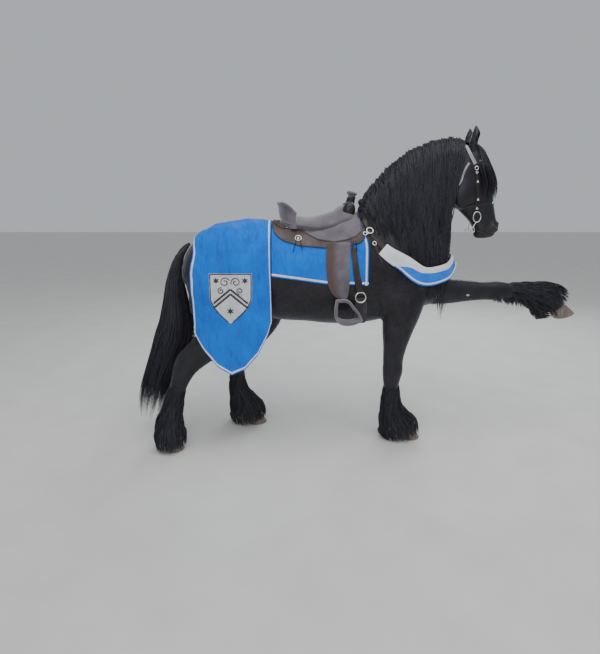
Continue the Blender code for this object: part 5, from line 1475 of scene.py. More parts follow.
def flat_size(grid, wide_axis=0):
    """The cloth in a grid laid flat: its straight width, its longest run the other way, and its area."""
    ends = grid[-1] - grid[0] if wide_axis == 0 else grid[:, -1] - grid[:, 0]
    steps = np.linalg.norm(np.diff(grid, axis=1 - wide_axis), axis=2)
    a = grid[1:, 1:] - grid[:-1, :-1]
    b = grid[1:, :-1] - grid[:-1, 1:]
    area = np.linalg.norm(np.cross(a, b), axis=2).sum() / 2
    return float(np.linalg.norm(ends, axis=1).max()), float(steps.sum(axis=1 - wide_axis).max()), float(area)


def thickened(name, grid, thickness, finish, rounding=True):
    """A cloth or leather piece: the grid's mesh, given a wall that grows outwards."""
    mesh, _, _ = grid_mesh(name, grid)
    piece = new_object(name, mesh, finish)
    outer = grid_normals(grid)
    middle = (grid.shape[0] - 1) // 2 * grid.shape[1] + grid.shape[1] // 3
    close = min(mesh.polygons, key=lambda f: (f.center - Vector(grid.reshape(-1, 3)[middle])).length)
    if close.normal.dot(Vector(outer.reshape(-1, 3)[middle])) < 0:
        mesh.flip_normals()
    add_modifier(piece, "SOLIDIFY", thickness=thickness, offset=1.0)
    if rounding:
        add_modifier(piece, "BEVEL", width=thickness * 0.35, segments=2, limit_method="ANGLE", angle_limit=1.0)
    apply_modifiers(piece)
    FLAT[name] = flat_size(grid)
    print(name, "flat", *(round(size, 3) for size in FLAT[name]))
    return piece


def creased(grid, normals, depth, scale, seed):
    """Small soft folds, which run down more than across."""
    moved = grid.copy()
    for c in range(grid.shape[0]):
        for r in range(grid.shape[1]):
            p = Vector(grid[c, r])
            spot = Vector(((p.x + 0.5 * p.z) * scale, p.y * scale * 0.6, p.z * scale * 0.3 + seed))
            fold = noise.fractal(spot, 0.8, 2.0, 3) * depth
            moved[c, r] += normals[c, r] * max(fold, -0.08 * depth)
    return moved


def inset_path(grid, normals, along_columns, index, inward, lift):
    """A path on a grid, beside one of its edges: index is the edge's row or column, inward a distance."""
    edge = grid[:, index] if along_columns else grid[index]
    step = 1 if index == 0 else -1
    path = []
    count = len(edge)
    for k in range(count):
        line = grid[k, ::step] if along_columns else grid[::step, k]
        ways = normals[k, ::step] if along_columns else normals[::step, k]
        at = np.concatenate([[0], np.cumsum(np.linalg.norm(np.diff(line, axis=0), axis=1))])
        spot = [np.interp(inward, at, line[:, j]) + lift * np.interp(inward, at, ways[:, j]) for j in range(3)]
        path.append(spot)
    return np.array(path)


def ribbon(first, second, normals, crown, name="ribbon"):
    """A flat braid between two paths, a little raised in its middle."""
    levels = ((0.0, -0.3), (0.06, 0.7), (0.3, 1.0), (0.7, 1.0), (0.94, 0.7), (1.0, -0.3))
    points, faces = [], []
    for a, b, n in zip(first, second, normals):
        points.extend(a + (b - a) * t + n * crown * h for t, h in levels)
        points.append(b - n * crown * 0.5)
        points.append(a - n * crown * 0.5)
    per = len(levels) + 2
    for k in range(len(first) - 1):
        for j in range(per):
            i = (j + 1) % per
            faces.append((k * per + j, k * per + i, (k + 1) * per + i, (k + 1) * per + j))
    faces.append(tuple(range(per)))
    faces.append(tuple((len(first) - 1) * per + j for j in reversed(range(per))))
    return outwards(mesh_of(name, points, faces))


# %% Cloth finishes


def cloth_finish(name, colour, dark, light, weave=900.0, roughness=0.75):
    made = Finish(name, colour, roughness, Sheen_Weight=0.02, Sheen_Roughness=0.4)
    made.set("Specular IOR Level", 0.3)
    across = made.node("ShaderNodeTexWave", {"Vector": made.place("UV"), "Scale": weave / 6}, bands_direction="X")
    down = made.node("ShaderNodeTexWave", {"Vector": made.place("UV"), "Scale": weave / 6}, bands_direction="Y")
    threads = made.math("MULTIPLY", across.outputs["Fac"], down.outputs["Fac"])
    wear = made.noise(7.0, 5.0)
    made.colour(made.ramp(wear, [(0.25, dark), (0.5, colour), (0.8, light)]))
    made.rough(wear, roughness - 0.08, roughness + 0.08)
    drawn = made.noise(1.0, 2.5, made.stretched((16, 9, 5), (0, 0.7, 0)))
    wrinkles = made.bump(drawn, 0.9, 0.045)
    made.bump(threads, 0.25, 0.0005, made.bump(made.noise(38.0, 3.0), 0.2, 0.003, wrinkles))
    return made


blue = cloth_finish("blue_cloth", (0.0, 0.165, 0.76), (0.0, 0.125, 0.62), (0.001, 0.205, 0.88))
white = cloth_finish("white_braid", (0.80, 0.82, 0.86), (0.68, 0.70, 0.75), (0.90, 0.91, 0.93), 500.0)
silver_cloth = cloth_finish("silver_cloth", (0.62, 0.63, 0.66), (0.50, 0.51, 0.54), (0.76, 0.77, 0.80), 700.0, 0.5)
print("cloth finishes", 3)

# %% [markdown]
# The caparison covers the croup and hangs to a point on each side. A white braid runs
# a finger's width inside its edge, and the blue binding shows outside the braid.

# %% Caparison
CLOTH = 0.005
REAR = ((1.523, -0.640), (1.436, -0.680), (1.298, -0.690), (1.209, -0.706), (1.087, -0.700), (0.839, -0.683))
FRONT = ((1.578, -0.192), (1.486, -0.188), (1.216, -0.184), (0.938, -0.180))
CAPARISON_LOW = (
    (-0.710, 0.870), (-0.683, 0.825), (-0.616, 0.715), (-0.535, 0.615), (-0.445, 0.556),
    (-0.359, 0.597), (-0.273, 0.691), (-0.206, 0.825), (-0.173, 0.938),
)
cover = over_the_back(skin_tree, REAR, FRONT, CAPARISON_LOW, 44, 46)
ways = grid_normals(cover)
hang = np.clip((1.22 - cover[..., 2]) / 0.6, 0, 1)
swing = np.sin(cover[..., 0] * 21 + 1.3) * 0.006 + np.sin(cover[..., 0] * 47) * 0.0025
cover = cover + ways * (0.0045 + hang * (0.006 + np.maximum(swing, -0.004)))[..., None]
folded = creased(creased(cover, ways, 0.018, 6.0, 3.1), ways, 0.006, 18.0, 1.7)
ease_in = np.clip(np.arange(len(cover))[::-1] / 7, 0.0, 1.0)[:, None, None]
cover = cover + (folded - cover) * ease_in
ways = grid_normals(cover)
caparison = thickened("caparison_cloth", cover, CLOTH, blue)
hand_over(caparison, "blue_cloth", "caparison", sharp=60)


def edge_braid(grid, ways, edges, inward, width, lift, crown, name, finish):
    """Braid along the named edges of a grid, mitred by the grid itself."""
    meshes = []
    for along_columns, index in edges:
        first = inset_path(grid, ways, along_columns, index, inward, lift)
        second = inset_path(grid, ways, along_columns, index, inward + width, lift)
        normals = ways[:, index] if along_columns else ways[index]
        meshes.append(ribbon(first, second, normals, crown))
    return hand_over(new_object(name, joined(meshes), finish), "blue_cloth", sharp=50)


EDGES = ((True, 0), (True, -1), (False, -1), (False, 0))
braid = edge_braid(cover, ways, EDGES, 0.009, 0.014, CLOTH, 0.0022, "caparison_braid", white)

# %% Saddle cloth
REAR = ((1.570, -0.186), (1.203, -0.178))
FRONT = ((1.655, 0.382), (1.600, 0.384), (1.534, 0.396), (1.433, 0.432), (1.390, 0.438), (1.145, 0.436))
UNDER_LOW = ((-0.176, 1.203), (0.158, 1.158), (0.438, 1.145))
under = over_the_back(skin_tree, REAR, FRONT, UNDER_LOW, 40, 34)
ways_under = grid_normals(under)
under = creased(under + ways_under * 0.0015, ways_under, 0.006, 10.0, 8.4)
under_cloth = thickened("under_cloth", under, CLOTH, blue)
under_tree = tree_of(skin.data, under_cloth.data)
hand_over(under_cloth, "blue_cloth", "saddle_cloth", sharp=60)
under_braid = edge_braid(
    under, ways_under, ((True, 0), (True, -1), (False, -1)), 0.008, 0.013, CLOTH, 0.002, "under_cloth_braid", white
)

# %% [markdown]
# Each side of the caparison carries a shield of silver cloth. Its figure here is a
# plain invented one: a chevron, stars and scrolls of dark embroidery.

# %% Shields
SHIELD = (
    (1.226, -0.575, -0.303), (1.150, -0.575, -0.304), (1.055, -0.574, -0.306),
    (1.000, -0.545, -0.335), (0.950, -0.500, -0.385), (0.905, -0.447, -0.439),
)
black_thread = Finish("black_thread", (0.03, 0.03, 0.035), 0.55)
black_thread.bump(black_thread.noise(600, 2.0), 0.5, 0.0008)
cover_mesh = grid_mesh("cover", cover + ways * CLOTH)[0]
cover_tree = tree_of(cover_mesh)


def on_cover(x, z, side, lift):
    """A point on the caparison at this x and z, lifted off it."""
    hit, normal, _, _ = cover_tree.ray_cast(Vector((x, side * 2.0, z)), Vector((0, -side, 0)))
    if normal.y * side < 0:
        normal = -normal
    return hit + normal * lift


def shield_x(z, share):
    rows = sorted(SHIELD)
    rear = np.interp(z, [r[0] for r in rows], [r[1] for r in rows])
    front = np.interp(z, [r[0] for r in rows], [r[2] for r in rows])
    return rear + (front - rear) * share


def stripe(points, width, side, lift, thick=0.0012):
    """A raised line of embroidery on the cover, through points given as x and z."""
    line = evenly(np.array(points, float), max(6, int(len(points) * 5)))
    way = np.gradient(line, axis=0)
    way /= np.maximum(np.linalg.norm(way, axis=1), 1e-9)[:, None]
    across = np.column_stack([-way[:, 1], way[:, 0]]) * width / 2
    first = np.array([on_cover(x, z, side, lift)[:] for x, z in line + across])
    second = np.array([on_cover(x, z, side, lift)[:] for x, z in line - across])
    return ribbon(first, second, np.tile((0, side, 0), (len(line), 1)), thick)


def star(x, z, size, side, lift):
    """A small star with six points, raised in its middle."""
    rim = []
    for k in range(12):
        turn = math.pi * k / 6
        reach = size if k % 2 == 0 else size * 0.45
        rim.append(on_cover(x + reach * math.sin(turn), z + reach * math.cos(turn), side, lift))
    middle = on_cover(x, z, side, lift + 0.0025)
    return outwards(mesh_of("star", rim + [middle], [(k, (k + 1) % 12, 12) for k in range(12)]))


def scroll(x, z, size, turn, side, lift):
    """A spiral line with a leaf at its end."""
    points = []
    for k in range(22):
        t = k / 21
        angle = turn + t * 2.6 * math.pi
        reach = size * (1 - 0.75 * t)
        points.append((x + reach * math.cos(angle) * (1 if turn >= 0 else -1), z + reach * math.sin(angle)))
    return stripe(points, 0.006, side, lift)


for word, side in SIDES:
    grid = []
    for k in range(25):
        z = 0.905 + (1.226 - 0.905) * k / 24
        grid.append([on_cover(shield_x(z, c / 16), z, side, 0.0004)[:] for c in range(17)])
    patch = thickened("shield_" + word, np.array(grid), 0.0022, silver_cloth)
    hand_over(patch, "silver_cloth", "shield_patch_" + word, sharp=50)
    lift = 0.0030
    rim = [(shield_x(z, 0.02), z) for z in np.linspace(0.915, 1.222, 14)]
    rim2 = [(shield_x(z, 0.98), z) for z in np.linspace(0.915, 1.222, 14)]
    figures = [stripe(rim, 0.007, side, lift), stripe(rim2, 0.007, side, lift)]
    figures.append(stripe([(shield_x(1.221, 0.02), 1.221), (shield_x(1.221, 0.98), 1.221)], 0.007, side, lift))
    for low in (1.010, 1.040):
        peak = (-0.440, low + 0.085)
        figures.append(stripe([(-0.548, low - 0.005), peak], 0.013, side, lift))
        figures.append(stripe([peak, (-0.332, low - 0.005)], 0.013, side, lift))
    for x, z, size in ((-0.530, 1.180, 0.024), (-0.348, 1.180, 0.024), (-0.443, 0.985, 0.026)):
        figures.append(star(x, z, size, side, lift))
    for x, z, size, turn in ((-0.475, 1.170, 0.032, 0.4), (-0.405, 1.170, 0.032, -0.4), (-0.500, 1.115, 0.022, 1.4), (-0.380, 1.115, 0.022, -1.4)):
        figures.append(scroll(x, z, size, turn, side, lift))
    hand_over(new_object("shield_figure_" + word, joined(figures), black_thread), "silver_cloth")

# %% [markdown]
# ## Saddle
# The saddle is built up as a saddler does it: skirts of tooled leather on the cloth,
# the seat on its tree with a raised cantle behind and the swell and horn in front,
# then the jockeys, and the wide fenders that carry the stirrups.

# %% Leather finishes


def leather_finish(name, colour, dark, light, roughness, grain=260.0, suede=False):
    made = Finish(name, colour, roughness)
    made.set("Specular IOR Level", 0.25 if suede else 0.45)
    if suede:
        made.set("Sheen Weight", 0.5)
        made.set("Sheen Roughness", 0.5)
    wear = made.noise(9.0, 6.0)
    pebble = made.node("ShaderNodeTexVoronoi", {"Vector": made.place(), "Scale": grain}).outputs["Distance"]
    made.colour(made.ramp(wear, [(0.28, dark), (0.5, colour), (0.78, light)]))
    made.rough(wear, roughness - 0.1, roughness + 0.08)
    made.bump(pebble, 0.35, 0.0006, made.bump(made.noise(24.0, 4.0), 0.2, 0.003))
    return made


suede = leather_finish("grey_suede", (0.140, 0.122, 0.146), (0.090, 0.078, 0.092), (0.20, 0.18, 0.21), 0.85, 700.0, True)
brown = leather_finish("tooled_leather", (0.085, 0.058, 0.055), (0.03, 0.02, 0.019), (0.17, 0.13, 0.125), 0.5)
black = leather_finish("black_leather", (0.018, 0.017, 0.018), (0.010, 0.009, 0.010), (0.035, 0.032, 0.033), 0.38)
dark_brown = leather_finish("dark_leather", (0.030, 0.020, 0.018), (0.016, 0.011, 0.010), (0.06, 0.042, 0.038), 0.45)
mohair = cloth_finish("grey_mohair", (0.075, 0.072, 0.078), (0.045, 0.043, 0.047), (0.13, 0.125, 0.13), 400.0, 0.85)
metal = Finish("silver_metal", (0.78, 0.77, 0.74), 0.22, 1.0)
metal.rough(metal.noise(30.0, 4.0), 0.16, 0.34)
metal.bump(metal.noise(90.0, 3.0), 0.15, 0.0006)

# %% Skirts and jockeys
LEATHER = 0.005
under_top = grid_mesh("under_top", under + ways_under * CLOTH)[0]
cloth_tree = tree_of(cover_mesh, under_top)
all_tree = cloth_tree
REAR = ((1.60, -0.183), (1.40, -0.183))
FRONT = ((1.70, 0.378), (1.600, 0.378), (1.534, 0.390), (1.433, 0.425), (1.380, 0.430))
SKIRT_LOW = (
    (-0.185, 1.520), (-0.168, 1.474), (-0.135, 1.442), (-0.100, 1.420), (0.000, 1.392),
    (0.156, 1.380), (0.300, 1.388), (0.380, 1.410), (0.425, 1.450), (0.440, 1.490),
)
skirt = over_the_back(all_tree, REAR, FRONT, SKIRT_LOW, 44, 18)
skirt_ways = grid_normals(skirt)
skirt = skirt + skirt_ways * 0.0008
skirt_piece = thickened("skirt", skirt, LEATHER, brown)
hand_over(skirt_piece, "brown_leather", "saddle_skirt", sharp=50)
skirt_top = grid_mesh("skirt_top", skirt + skirt_ways * LEATHER)[0]
JOCKEY_LOW = (
    (-0.060, 1.560), (-0.010, 1.515), (0.050, 1.462), (0.120, 1.430), (0.219, 1.417),
    (0.300, 1.432), (0.360, 1.455), (0.400, 1.490), (0.420, 1.540),
)
REAR = ((1.60, -0.055), (1.40, -0.055))
FRONT = ((1.70, 0.372), (1.600, 0.372), (1.534, 0.384), (1.433, 0.405))
saddle_tree = tree_of(skirt_top, cover_mesh, under_top)
jockey = over_the_back(saddle_tree, REAR, FRONT, JOCKEY_LOW, 40, 16)
jockey_ways = grid_normals(jockey)
jockey = jockey + jockey_ways * 0.0008
jockey_piece = thickened("seat_jockeys", jockey, 0.004, suede)
hand_over(jockey_piece, "grey_suede", sharp=50)
edge_braid(jockey, jockey_ways, ((True, 0), (True, -1), (False, 0)), 0.0, 0.006, 0.004, 0.0015, "jockey_edge", black)
edge_braid(skirt, skirt_ways, ((True, 0), (True, -1), (False, 0)), 0.0, 0.007, LEATHER, 0.0015, "skirt_edge", black)
REAR_LOW = ((-0.180, 1.560), (-0.160, 1.525), (-0.120, 1.500), (-0.060, 1.500), (-0.020, 1.530))
REAR = ((1.60, -0.176), (1.40, -0.176))
FRONT = ((1.70, -0.020), (1.40, -0.020))
rear_jockey = over_the_back(saddle_tree, REAR, FRONT, REAR_LOW, 16, 12)
rear_ways = grid_normals(rear_jockey)
rear_jockey = rear_jockey + rear_ways * 0.0009
hand_over(thickened("rear_jockeys", rear_jockey, 0.0035, brown), "brown_leather", sharp=50)
edge_braid(rear_jockey, rear_ways, ((True, 0), (True, -1), (False, 0)), 0.0, 0.005, 0.0035, 0.0013, "rear_jockey_edge", black)

# %% Seat, cantle and swell
SEAT = (
    (-0.130, 0, 1.560, 0.030, 0.040, 0.110),
    (-0.105, 0, 1.545, 0.050, 0.050, 0.150),
    (-0.060, 0, 1.535, 0.054, 0.060, 0.178),
    (0.010, 0, 1.525, 0.058, 0.060, 0.184),
    (0.110, 0, 1.512, 0.074, 0.060, 0.178),
    (0.200, 0, 1.530, 0.078, 0.080, 0.165),
    (0.265, 0, 1.550, 0.084, 0.080, 0.162),
    (0.312, 0, 1.570, 0.094, 0.080, 0.168),
    (0.350, 0, 1.570, 0.080, 0.060, 0.140),
    (0.375, 0, 1.570, 0.040, 0.030, 0.090),
)
seat = new_object("seat", tube(SEAT, 46, 44, 1.65), suede)
subdivided(seat, 1)
hand_over(seat, "grey_suede", "saddle_seat")

# %% Round rods along a path
rods = NodeTree("rod_along_path")
radius_in = rods.input("Radius", "Float", 0.003)
sides_in = rods.input("Sides", "Int", 10)
as_curve = rods.node("GeometryNodeMeshToCurve", {"Mesh": rods.start.outputs["Geometry"]})
ring_in = rods.node("GeometryNodeCurvePrimitiveCircle", {"Resolution": sides_in, "Radius": radius_in})
swept = rods.node(
    "GeometryNodeCurveToMesh",
    {"Curve": as_curve.outputs[0], "Profile Curve": ring_in.outputs[0], "Fill Caps": True},
)
rods.finish(swept.outputs[0], metal.material)


def rod_mesh(path, radius, sides=10, closed=False):
    """A round cord or bar along a path."""
    count = len(path)
    line = bpy.data.meshes.new("line")
    edges = [(k, (k + 1) % count) for k in range(count if closed else count - 1)]
    line.from_pydata([tuple(map(float, p)) for p in path], edges, [])
    holder = new_object("rod", line)
    grow(holder, rods, Radius=radius, Sides=sides)
    mesh = outwards(holder.data)
    bpy.data.objects.remove(holder)
    return mesh


def rod(name, path, radius, finish, slot, sides=10, closed=False, nodes=()):
    """A rod that is a piece of its own."""
    return hand_over(new_object(name, rod_mesh(path, radius, sides, closed), finish), slot, *nodes)


# %% Cantle
CANTLE_TOP_Z, CANTLE_LOW_Z, DISH_Z = 1.668, 1.500, 1.556


def cantle_point(turn, v):
    """A place on the cantle: v runs up the dish to the rim at 1, and down the back to 2."""
    c, s = max(math.cos(turn), 0.0) ** 0.8, math.sin(turn)
    rim = CANTLE_TOP_Z - 0.085 * (1 - math.cos(turn)) ** 2.8
    if v <= 1:
        back, out = -0.020 + 0.155 * v, 0.070 + 0.108 * v
        z = DISH_Z - 0.012 * abs(s) + (rim - DISH_Z + 0.012 * abs(s)) * v**2.3
    else:
        back, out = 0.135 + 0.014 * math.sin(math.pi * (v - 1)) - 0.045 * (v - 1), 0.178 + 0.010 * (v - 1)
        z = rim + (CANTLE_LOW_Z - rim) * (v - 1)
    return (-0.014 - back * c, out * s, z)


turns = [math.radians(-87 + 174 * k / 40) for k in range(41)]
levels = [k / 12 for k in range(13)] + [1 + k / 8 for k in range(1, 9)]
points = [cantle_point(turn, v) for turn in turns for v in levels]
faces, per = [], len(levels)
for c in range(len(turns) - 1):
    for r in range(per):
        a, b = c * per + r, c * per + (r + 1) % per
        faces.append((a, b, b + per, a + per))
faces.append(tuple(range(per)))
faces.append(tuple((len(turns) - 1) * per + r for r in reversed(range(per))))
cantle = new_object("cantle", outwards(mesh_of("cantle", points, faces)), suede)
hand_over(cantle, "grey_suede", sharp=70)
# %% Wraps on the swell
wraps = [blob((0.322, side * 0.112, 1.622), (0.042, 0.040, 0.056), 8, 20) for side in BOTH]
hand_over(new_object("swell_wraps", joined(wraps), black), "black_leather")

# %% Roll along the cantle's rim
rod("cantle_roll", [cantle_point(turn, 1.0) for turn in turns], 0.0095, suede, "grey_suede", 14)

# %% Horn
horn_stations = (
    (0.325, 0, 1.620, 0.036, 0.036, 0.036), (0.334, 0, 1.662, 0.026, 0.026, 0.026),
    (0.342, 0, 1.695, 0.022, 0.022, 0.022), (0.350, 0, 1.722, 0.026, 0.026, 0.028),
    (0.353, 0, 1.736, 0.040, 0.038, 0.042), (0.356, 0, 1.748, 0.030, 0.030, 0.030),
)
horn_piece = new_object("horn", tube(horn_stations, 22, 28, 2.0), suede)
subdivided(horn_piece, 1)
hand_over(horn_piece, "black_leather", "saddle_horn")
wrap = []
for k in range(150):
    turn = 2 * math.pi * k / 18
    z = 1.640 + 0.070 * k / 149
    reach = np.interp(z, [1.620, 1.662, 1.695, 1.722], [0.038, 0.0275, 0.0235, 0.0275]) + 0.002
    wrap.append((0.3275 + (z - 1.62) * 0.24 + reach * math.cos(turn), reach * math.sin(turn), z))
rod("horn_wrap", wrap, 0.0045, black, "black_leather", 8)

# %% Fenders and stirrups
FENDER = (
    (1.418, 0.170, 0.318), (1.360, 0.165, 0.316), (1.280, 0.163, 0.314), (1.200, 0.168, 0.314),
    (1.140, 0.180, 0.312), (1.095, 0.205, 0.306), (1.066, 0.240, 0.298),
)


def side_sheet(tree, levels, side, columns, rows, off):
    """A hanging sheet on one side, from rows of (height, rear x, front x)."""
    rows_z = np.linspace(levels[0][0], levels[-1][0], rows + 1)
    table = sorted(levels)
    grid, reach = [], np.zeros(columns + 1)
    for z in rows_z:
        rear = np.interp(z, [r[0] for r in table], [r[1] for r in table])
        front = np.interp(z, [r[0] for r in table], [r[2] for r in table])
        row = []
        for c in range(columns + 1):
            x = rear + (front - rear) * c / columns
            reach[c] = max(reach[c], side_reach(tree, x, z, side) or 0.0)
            row.append((x, side * (reach[c] + off), z))
        grid.append(row)
    return np.array(grid)


jockey_top = grid_mesh("jockey_top", jockey + jockey_ways * 0.004)[0]
skin_drawn = mesh_of("skin_drawn", skin_points, [tuple(f.vertices) for f in skin.data.polygons])
layers = tree_of(skin_drawn, jockey_top, skirt_top, cover_mesh, under_top)
below_jockey = tree_of(skin_drawn, skirt_top, cover_mesh, under_top)
worn_suede = leather_finish("worn_suede", (0.13, 0.11, 0.13), (0.08, 0.07, 0.08), (0.20, 0.18, 0.21), 0.85, 700.0, True)
over_fender = worn_suede.node("ShaderNodeSeparateXYZ", {"Vector": worn_suede.place("UV")}).outputs["Y"]
rubbed = worn_suede.math("DIVIDE", over_fender, 0.153)
rubbed = worn_suede.math("ADD", rubbed, worn_suede.math("MULTIPLY", worn_suede.noise(14.0, 4.0), 0.35))
rubbed = worn_suede.ramp(rubbed, [(0.38, (1.0,) * 3), (0.72, (0.0,) * 3)])
lilac = worn_suede.ramp(worn_suede.noise(9.0, 6.0), [(0.28, (0.09, 0.078, 0.092)), (0.78, (0.20, 0.18, 0.21))])
worn_suede.colour(worn_suede.mix(rubbed, lilac, (0.095, 0.062, 0.058)))
for word, side in SIDES:
    grid = side_sheet(below_jockey, FENDER, side, 14, 30, 0.001)
    bowed = 0.004 * np.sin(np.linspace(0, math.pi, 15))[None, :]
    grid[..., 1] += side * bowed
    piece = thickened("stirrup_fender_" + word, grid, LEATHER, worn_suede)
    hand_over(piece, "grey_suede", "fender_" + word, sharp=50)


STIRRUP = (
    (0.236, 1.062), (0.296, 1.062), (0.340, 1.015), (0.378, 0.965),
    (0.382, 0.950), (0.352, 0.938), (0.258, 0.938), (0.238, 0.952), (0.232, 0.995),
)
for word, side in SIDES:
    low_corner, high_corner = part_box("stirrup_" + word)
    outer_y = (low_corner.y if side < 0 else high_corner.y) - SHIFT.y
    inner_y = (high_corner.y if side < 0 else low_corner.y) - SHIFT.y
    top_z = high_corner.z
    path = np.array([(x, 0, z) for x, z in STIRRUP + STIRRUP[:1]])
    path = smooth_rows(path, 64)[:-1]
    centre = path.mean(axis=0)
    points, faces = [], []
    for p in path:
        out = (p - centre) / np.linalg.norm(p - centre)
        tread = np.clip((0.965 - p[2]) / 0.03, 0, 1)
        half = 0.024 + 0.016 * tread
        thick = 0.019 + 0.010 * tread
        middle_y = (outer_y + inner_y) / 2
        for across, lift in ((-1, 0.2), (-0.8, 0), (0.8, 0), (1, 0.2), (1, 0.8), (0.8, 1), (-0.8, 1), (-1, 0.8)):
            reach = thick * (lift - 0.35)
            points.append((p[0] + out[0] * reach, middle_y + across * half, p[2] + out[2] * reach))
    n = len(path)
    for k in range(n):
        for j in range(8):
            i = (j + 1) % 8
            a, b = 8 * k, 8 * ((k + 1) % n)
            faces.append((a + j, b + j, b + i, a + i))
    mesh = outwards(mesh_of("stirrup", points, faces))
    top_now = max(v.co.z for v in mesh.vertices)
    mesh.transform(Matrix.Translation((0, 0, top_z - top_now)))
    hand_over(new_object("stirrup_iron_" + word, mesh, suede), "grey_suede", "stirrup_" + word, sharp=40)

# %% Girth, latigos and rings
LATIGO = ((1.386, 0.320, 0.356), (1.240, 0.334, 0.376), (1.170, 0.345, 0.392), (1.108, 0.362, 0.406))


def loop_path(centre, radii, count=48, tilt=0.0):
    return [
        (centre[0] + radii[0] * math.cos(2 * math.pi * k / count),
         centre[1] + tilt * math.sin(2 * math.pi * k / count),
         centre[2] + radii[1] * math.sin(2 * math.pi * k / count))
        for k in range(count)
    ]


for word, side in SIDES:
    grid = side_sheet(below_jockey, LATIGO, side, 6, 20, 0.001)
    hand_over(thickened("latigo_strap_" + word, grid, 0.0045, dark_brown), "brown_leather", "latigo_" + word, sharp=50)
    low_corner, high_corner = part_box("cinch_ring_" + word)
    middle = (low_corner + high_corner) / 2 - SHIFT
    rod("ring_" + word, loop_path(middle, (0.033, 0.033)), 0.005, metal, "silver_metal", 12, True, ("cinch_ring_" + word,))


def strap_rows(stations, tree, rings, closed=False, ease=1):
    """Middle points, normals and widths of a strap that follows a surface."""
    rows = smooth_rows(list(stations) + ([stations[0]] if closed else []), rings + closed)
    nearby = [tree.find_nearest(Vector(row[:3]))[:2] for row in rows[:rings]]
    middles = np.array([(near + normal * row[4])[:] for (near, normal), row in zip(nearby, rows)])
    normals = np.array([normal[:] for _, normal in nearby])
    for _ in range(2 * ease):
        if closed:
            normals = np.roll(normals, 1, 0) + 2 * normals + np.roll(normals, -1, 0)
        else:
            inner = normals[:-2] + 2 * normals[1:-1] + normals[2:]
            normals = np.vstack([normals[:1], inner, normals[-1:]])
        normals /= np.linalg.norm(normals, axis=1)[:, None]
    for _ in range(ease - 1):
        if closed:
            middles = (np.roll(middles, 1, 0) + 2 * middles + np.roll(middles, -1, 0)) / 4
        else:
            middles[1:-1] = (middles[:-2] + 2 * middles[1:-1] + middles[2:]) / 4
    return middles, normals, rows[:rings, 3]


def strap_grid(stations, tree, rings, columns, closed=False, ease=1, lift=0.001):
    middles, normals, widths = strap_rows(stations, tree, rings, closed, ease)
    if closed:
        tangent = np.roll(middles, -1, 0) - np.roll(middles, 1, 0)
    else:
        tangent = np.gradient(middles, axis=0)
    tangent /= np.linalg.norm(tangent, axis=1)[:, None]
    across = np.cross(tangent, normals)
    across /= np.linalg.norm(across, axis=1)[:, None]
    share = np.linspace(-0.5, 0.5, columns)
    grid = middles[:, None] + across[:, None] * (widths[:, None] * share[None])[..., None]
    ways = np.repeat(normals[:, None], columns, axis=1)
    for r in range(grid.shape[0]):
        for c in range(columns):
            up = Vector(ways[r, c])
            hit, _, _, distance = tree.ray_cast(Vector(grid[r, c]) + up * 0.03, -up, 0.06)
            if hit:
                grid[r, c] += ways[r, c] * max(0.0, 0.03 - distance + lift)
    return grid, ways


def strap_piece(name, stations, tree, rings, columns, thickness, finish, slot, nodes=(), closed=False, ease=1):
    grid, ways = strap_grid(stations, tree, rings, columns, closed, ease)
    rows, cols = grid.shape[:2]
    share = np.linspace(-1, 1, cols)
    crown = (1 - np.abs(share) ** 6)[None, :, None]
    top = grid + ways * thickness * (0.65 + 0.35 * crown)
    points = np.concatenate([top, grid[:, ::-1]], axis=1).reshape(-1, 3)
    per = 2 * cols
    faces = []
    for r in range(rows if closed else rows - 1):
        for j in range(per):
            i, s = (j + 1) % per, (r + 1) % rows
            faces.append((r * per + j, s * per + j, s * per + i, r * per + i))
    if not closed:
        faces.append(tuple(range(per)))
        faces.append(tuple((rows - 1) * per + j for j in reversed(range(per))))
    mesh = outwards(mesh_of(name, points, faces))
    piece = new_object(name, mesh, finish)
    mapped(piece, grid, per, cols, closed)
    hand_over(piece, slot, *nodes, sharp=45)
    return grid, ways


def mapped(piece, grid, per, cols, closed):
    """A map along and across a strap, in metres."""
    mesh = piece.data
    run = np.concatenate([[0], np.cumsum(np.linalg.norm(np.diff(grid[:, cols // 2], axis=0), axis=1))])
    corners = np.empty(len(mesh.loops), int)
    mesh.loops.foreach_get("vertex_index", corners)
    ring, place = corners // per, corners % per
    across = np.where(place < cols, place, per - 1 - place) / (cols - 1)
    layer = mesh.uv_layers.new(name="strap")
    layer.data.foreach_set("uv", np.column_stack([run[ring], across]).ravel())


def mirrored(stations):
    back = [(r[0], -r[1], *r[2:]) for r in reversed(stations[:-1])]
    return list(stations) + back


body_tree = tree_of(skin_drawn)
GIRTH = (
    (0.392, -0.300, 1.060, 0.050, 0.000), (0.398, -0.297, 1.010, 0.070, 0.001), (0.402, -0.285, 0.950, 0.075, 0.001),
    (0.405, -0.235, 0.890, 0.075, 0.001), (0.406, -0.120, 0.855, 0.075, 0.001), (0.406, 0.000, 0.845, 0.075, 0.001),
)
CORDS = 11
girth_grid, girth_ways = strap_grid(mirrored(GIRTH), body_tree, 60, CORDS)
cords = []
for c in range(CORDS):
    line = girth_grid[:, c] + girth_ways[:, c] * 0.004
    cords.append(rod_mesh(line, 0.0042, 8))
hand_over(new_object("girth_cords", joined(cords), mohair), "grey_mohair", "girth")

# %% [markdown]
# ## Banner
# A breast banner hangs from the withers across the chest. Its upper half is white and
# its lower half blue, with a white braid near the lower edge.

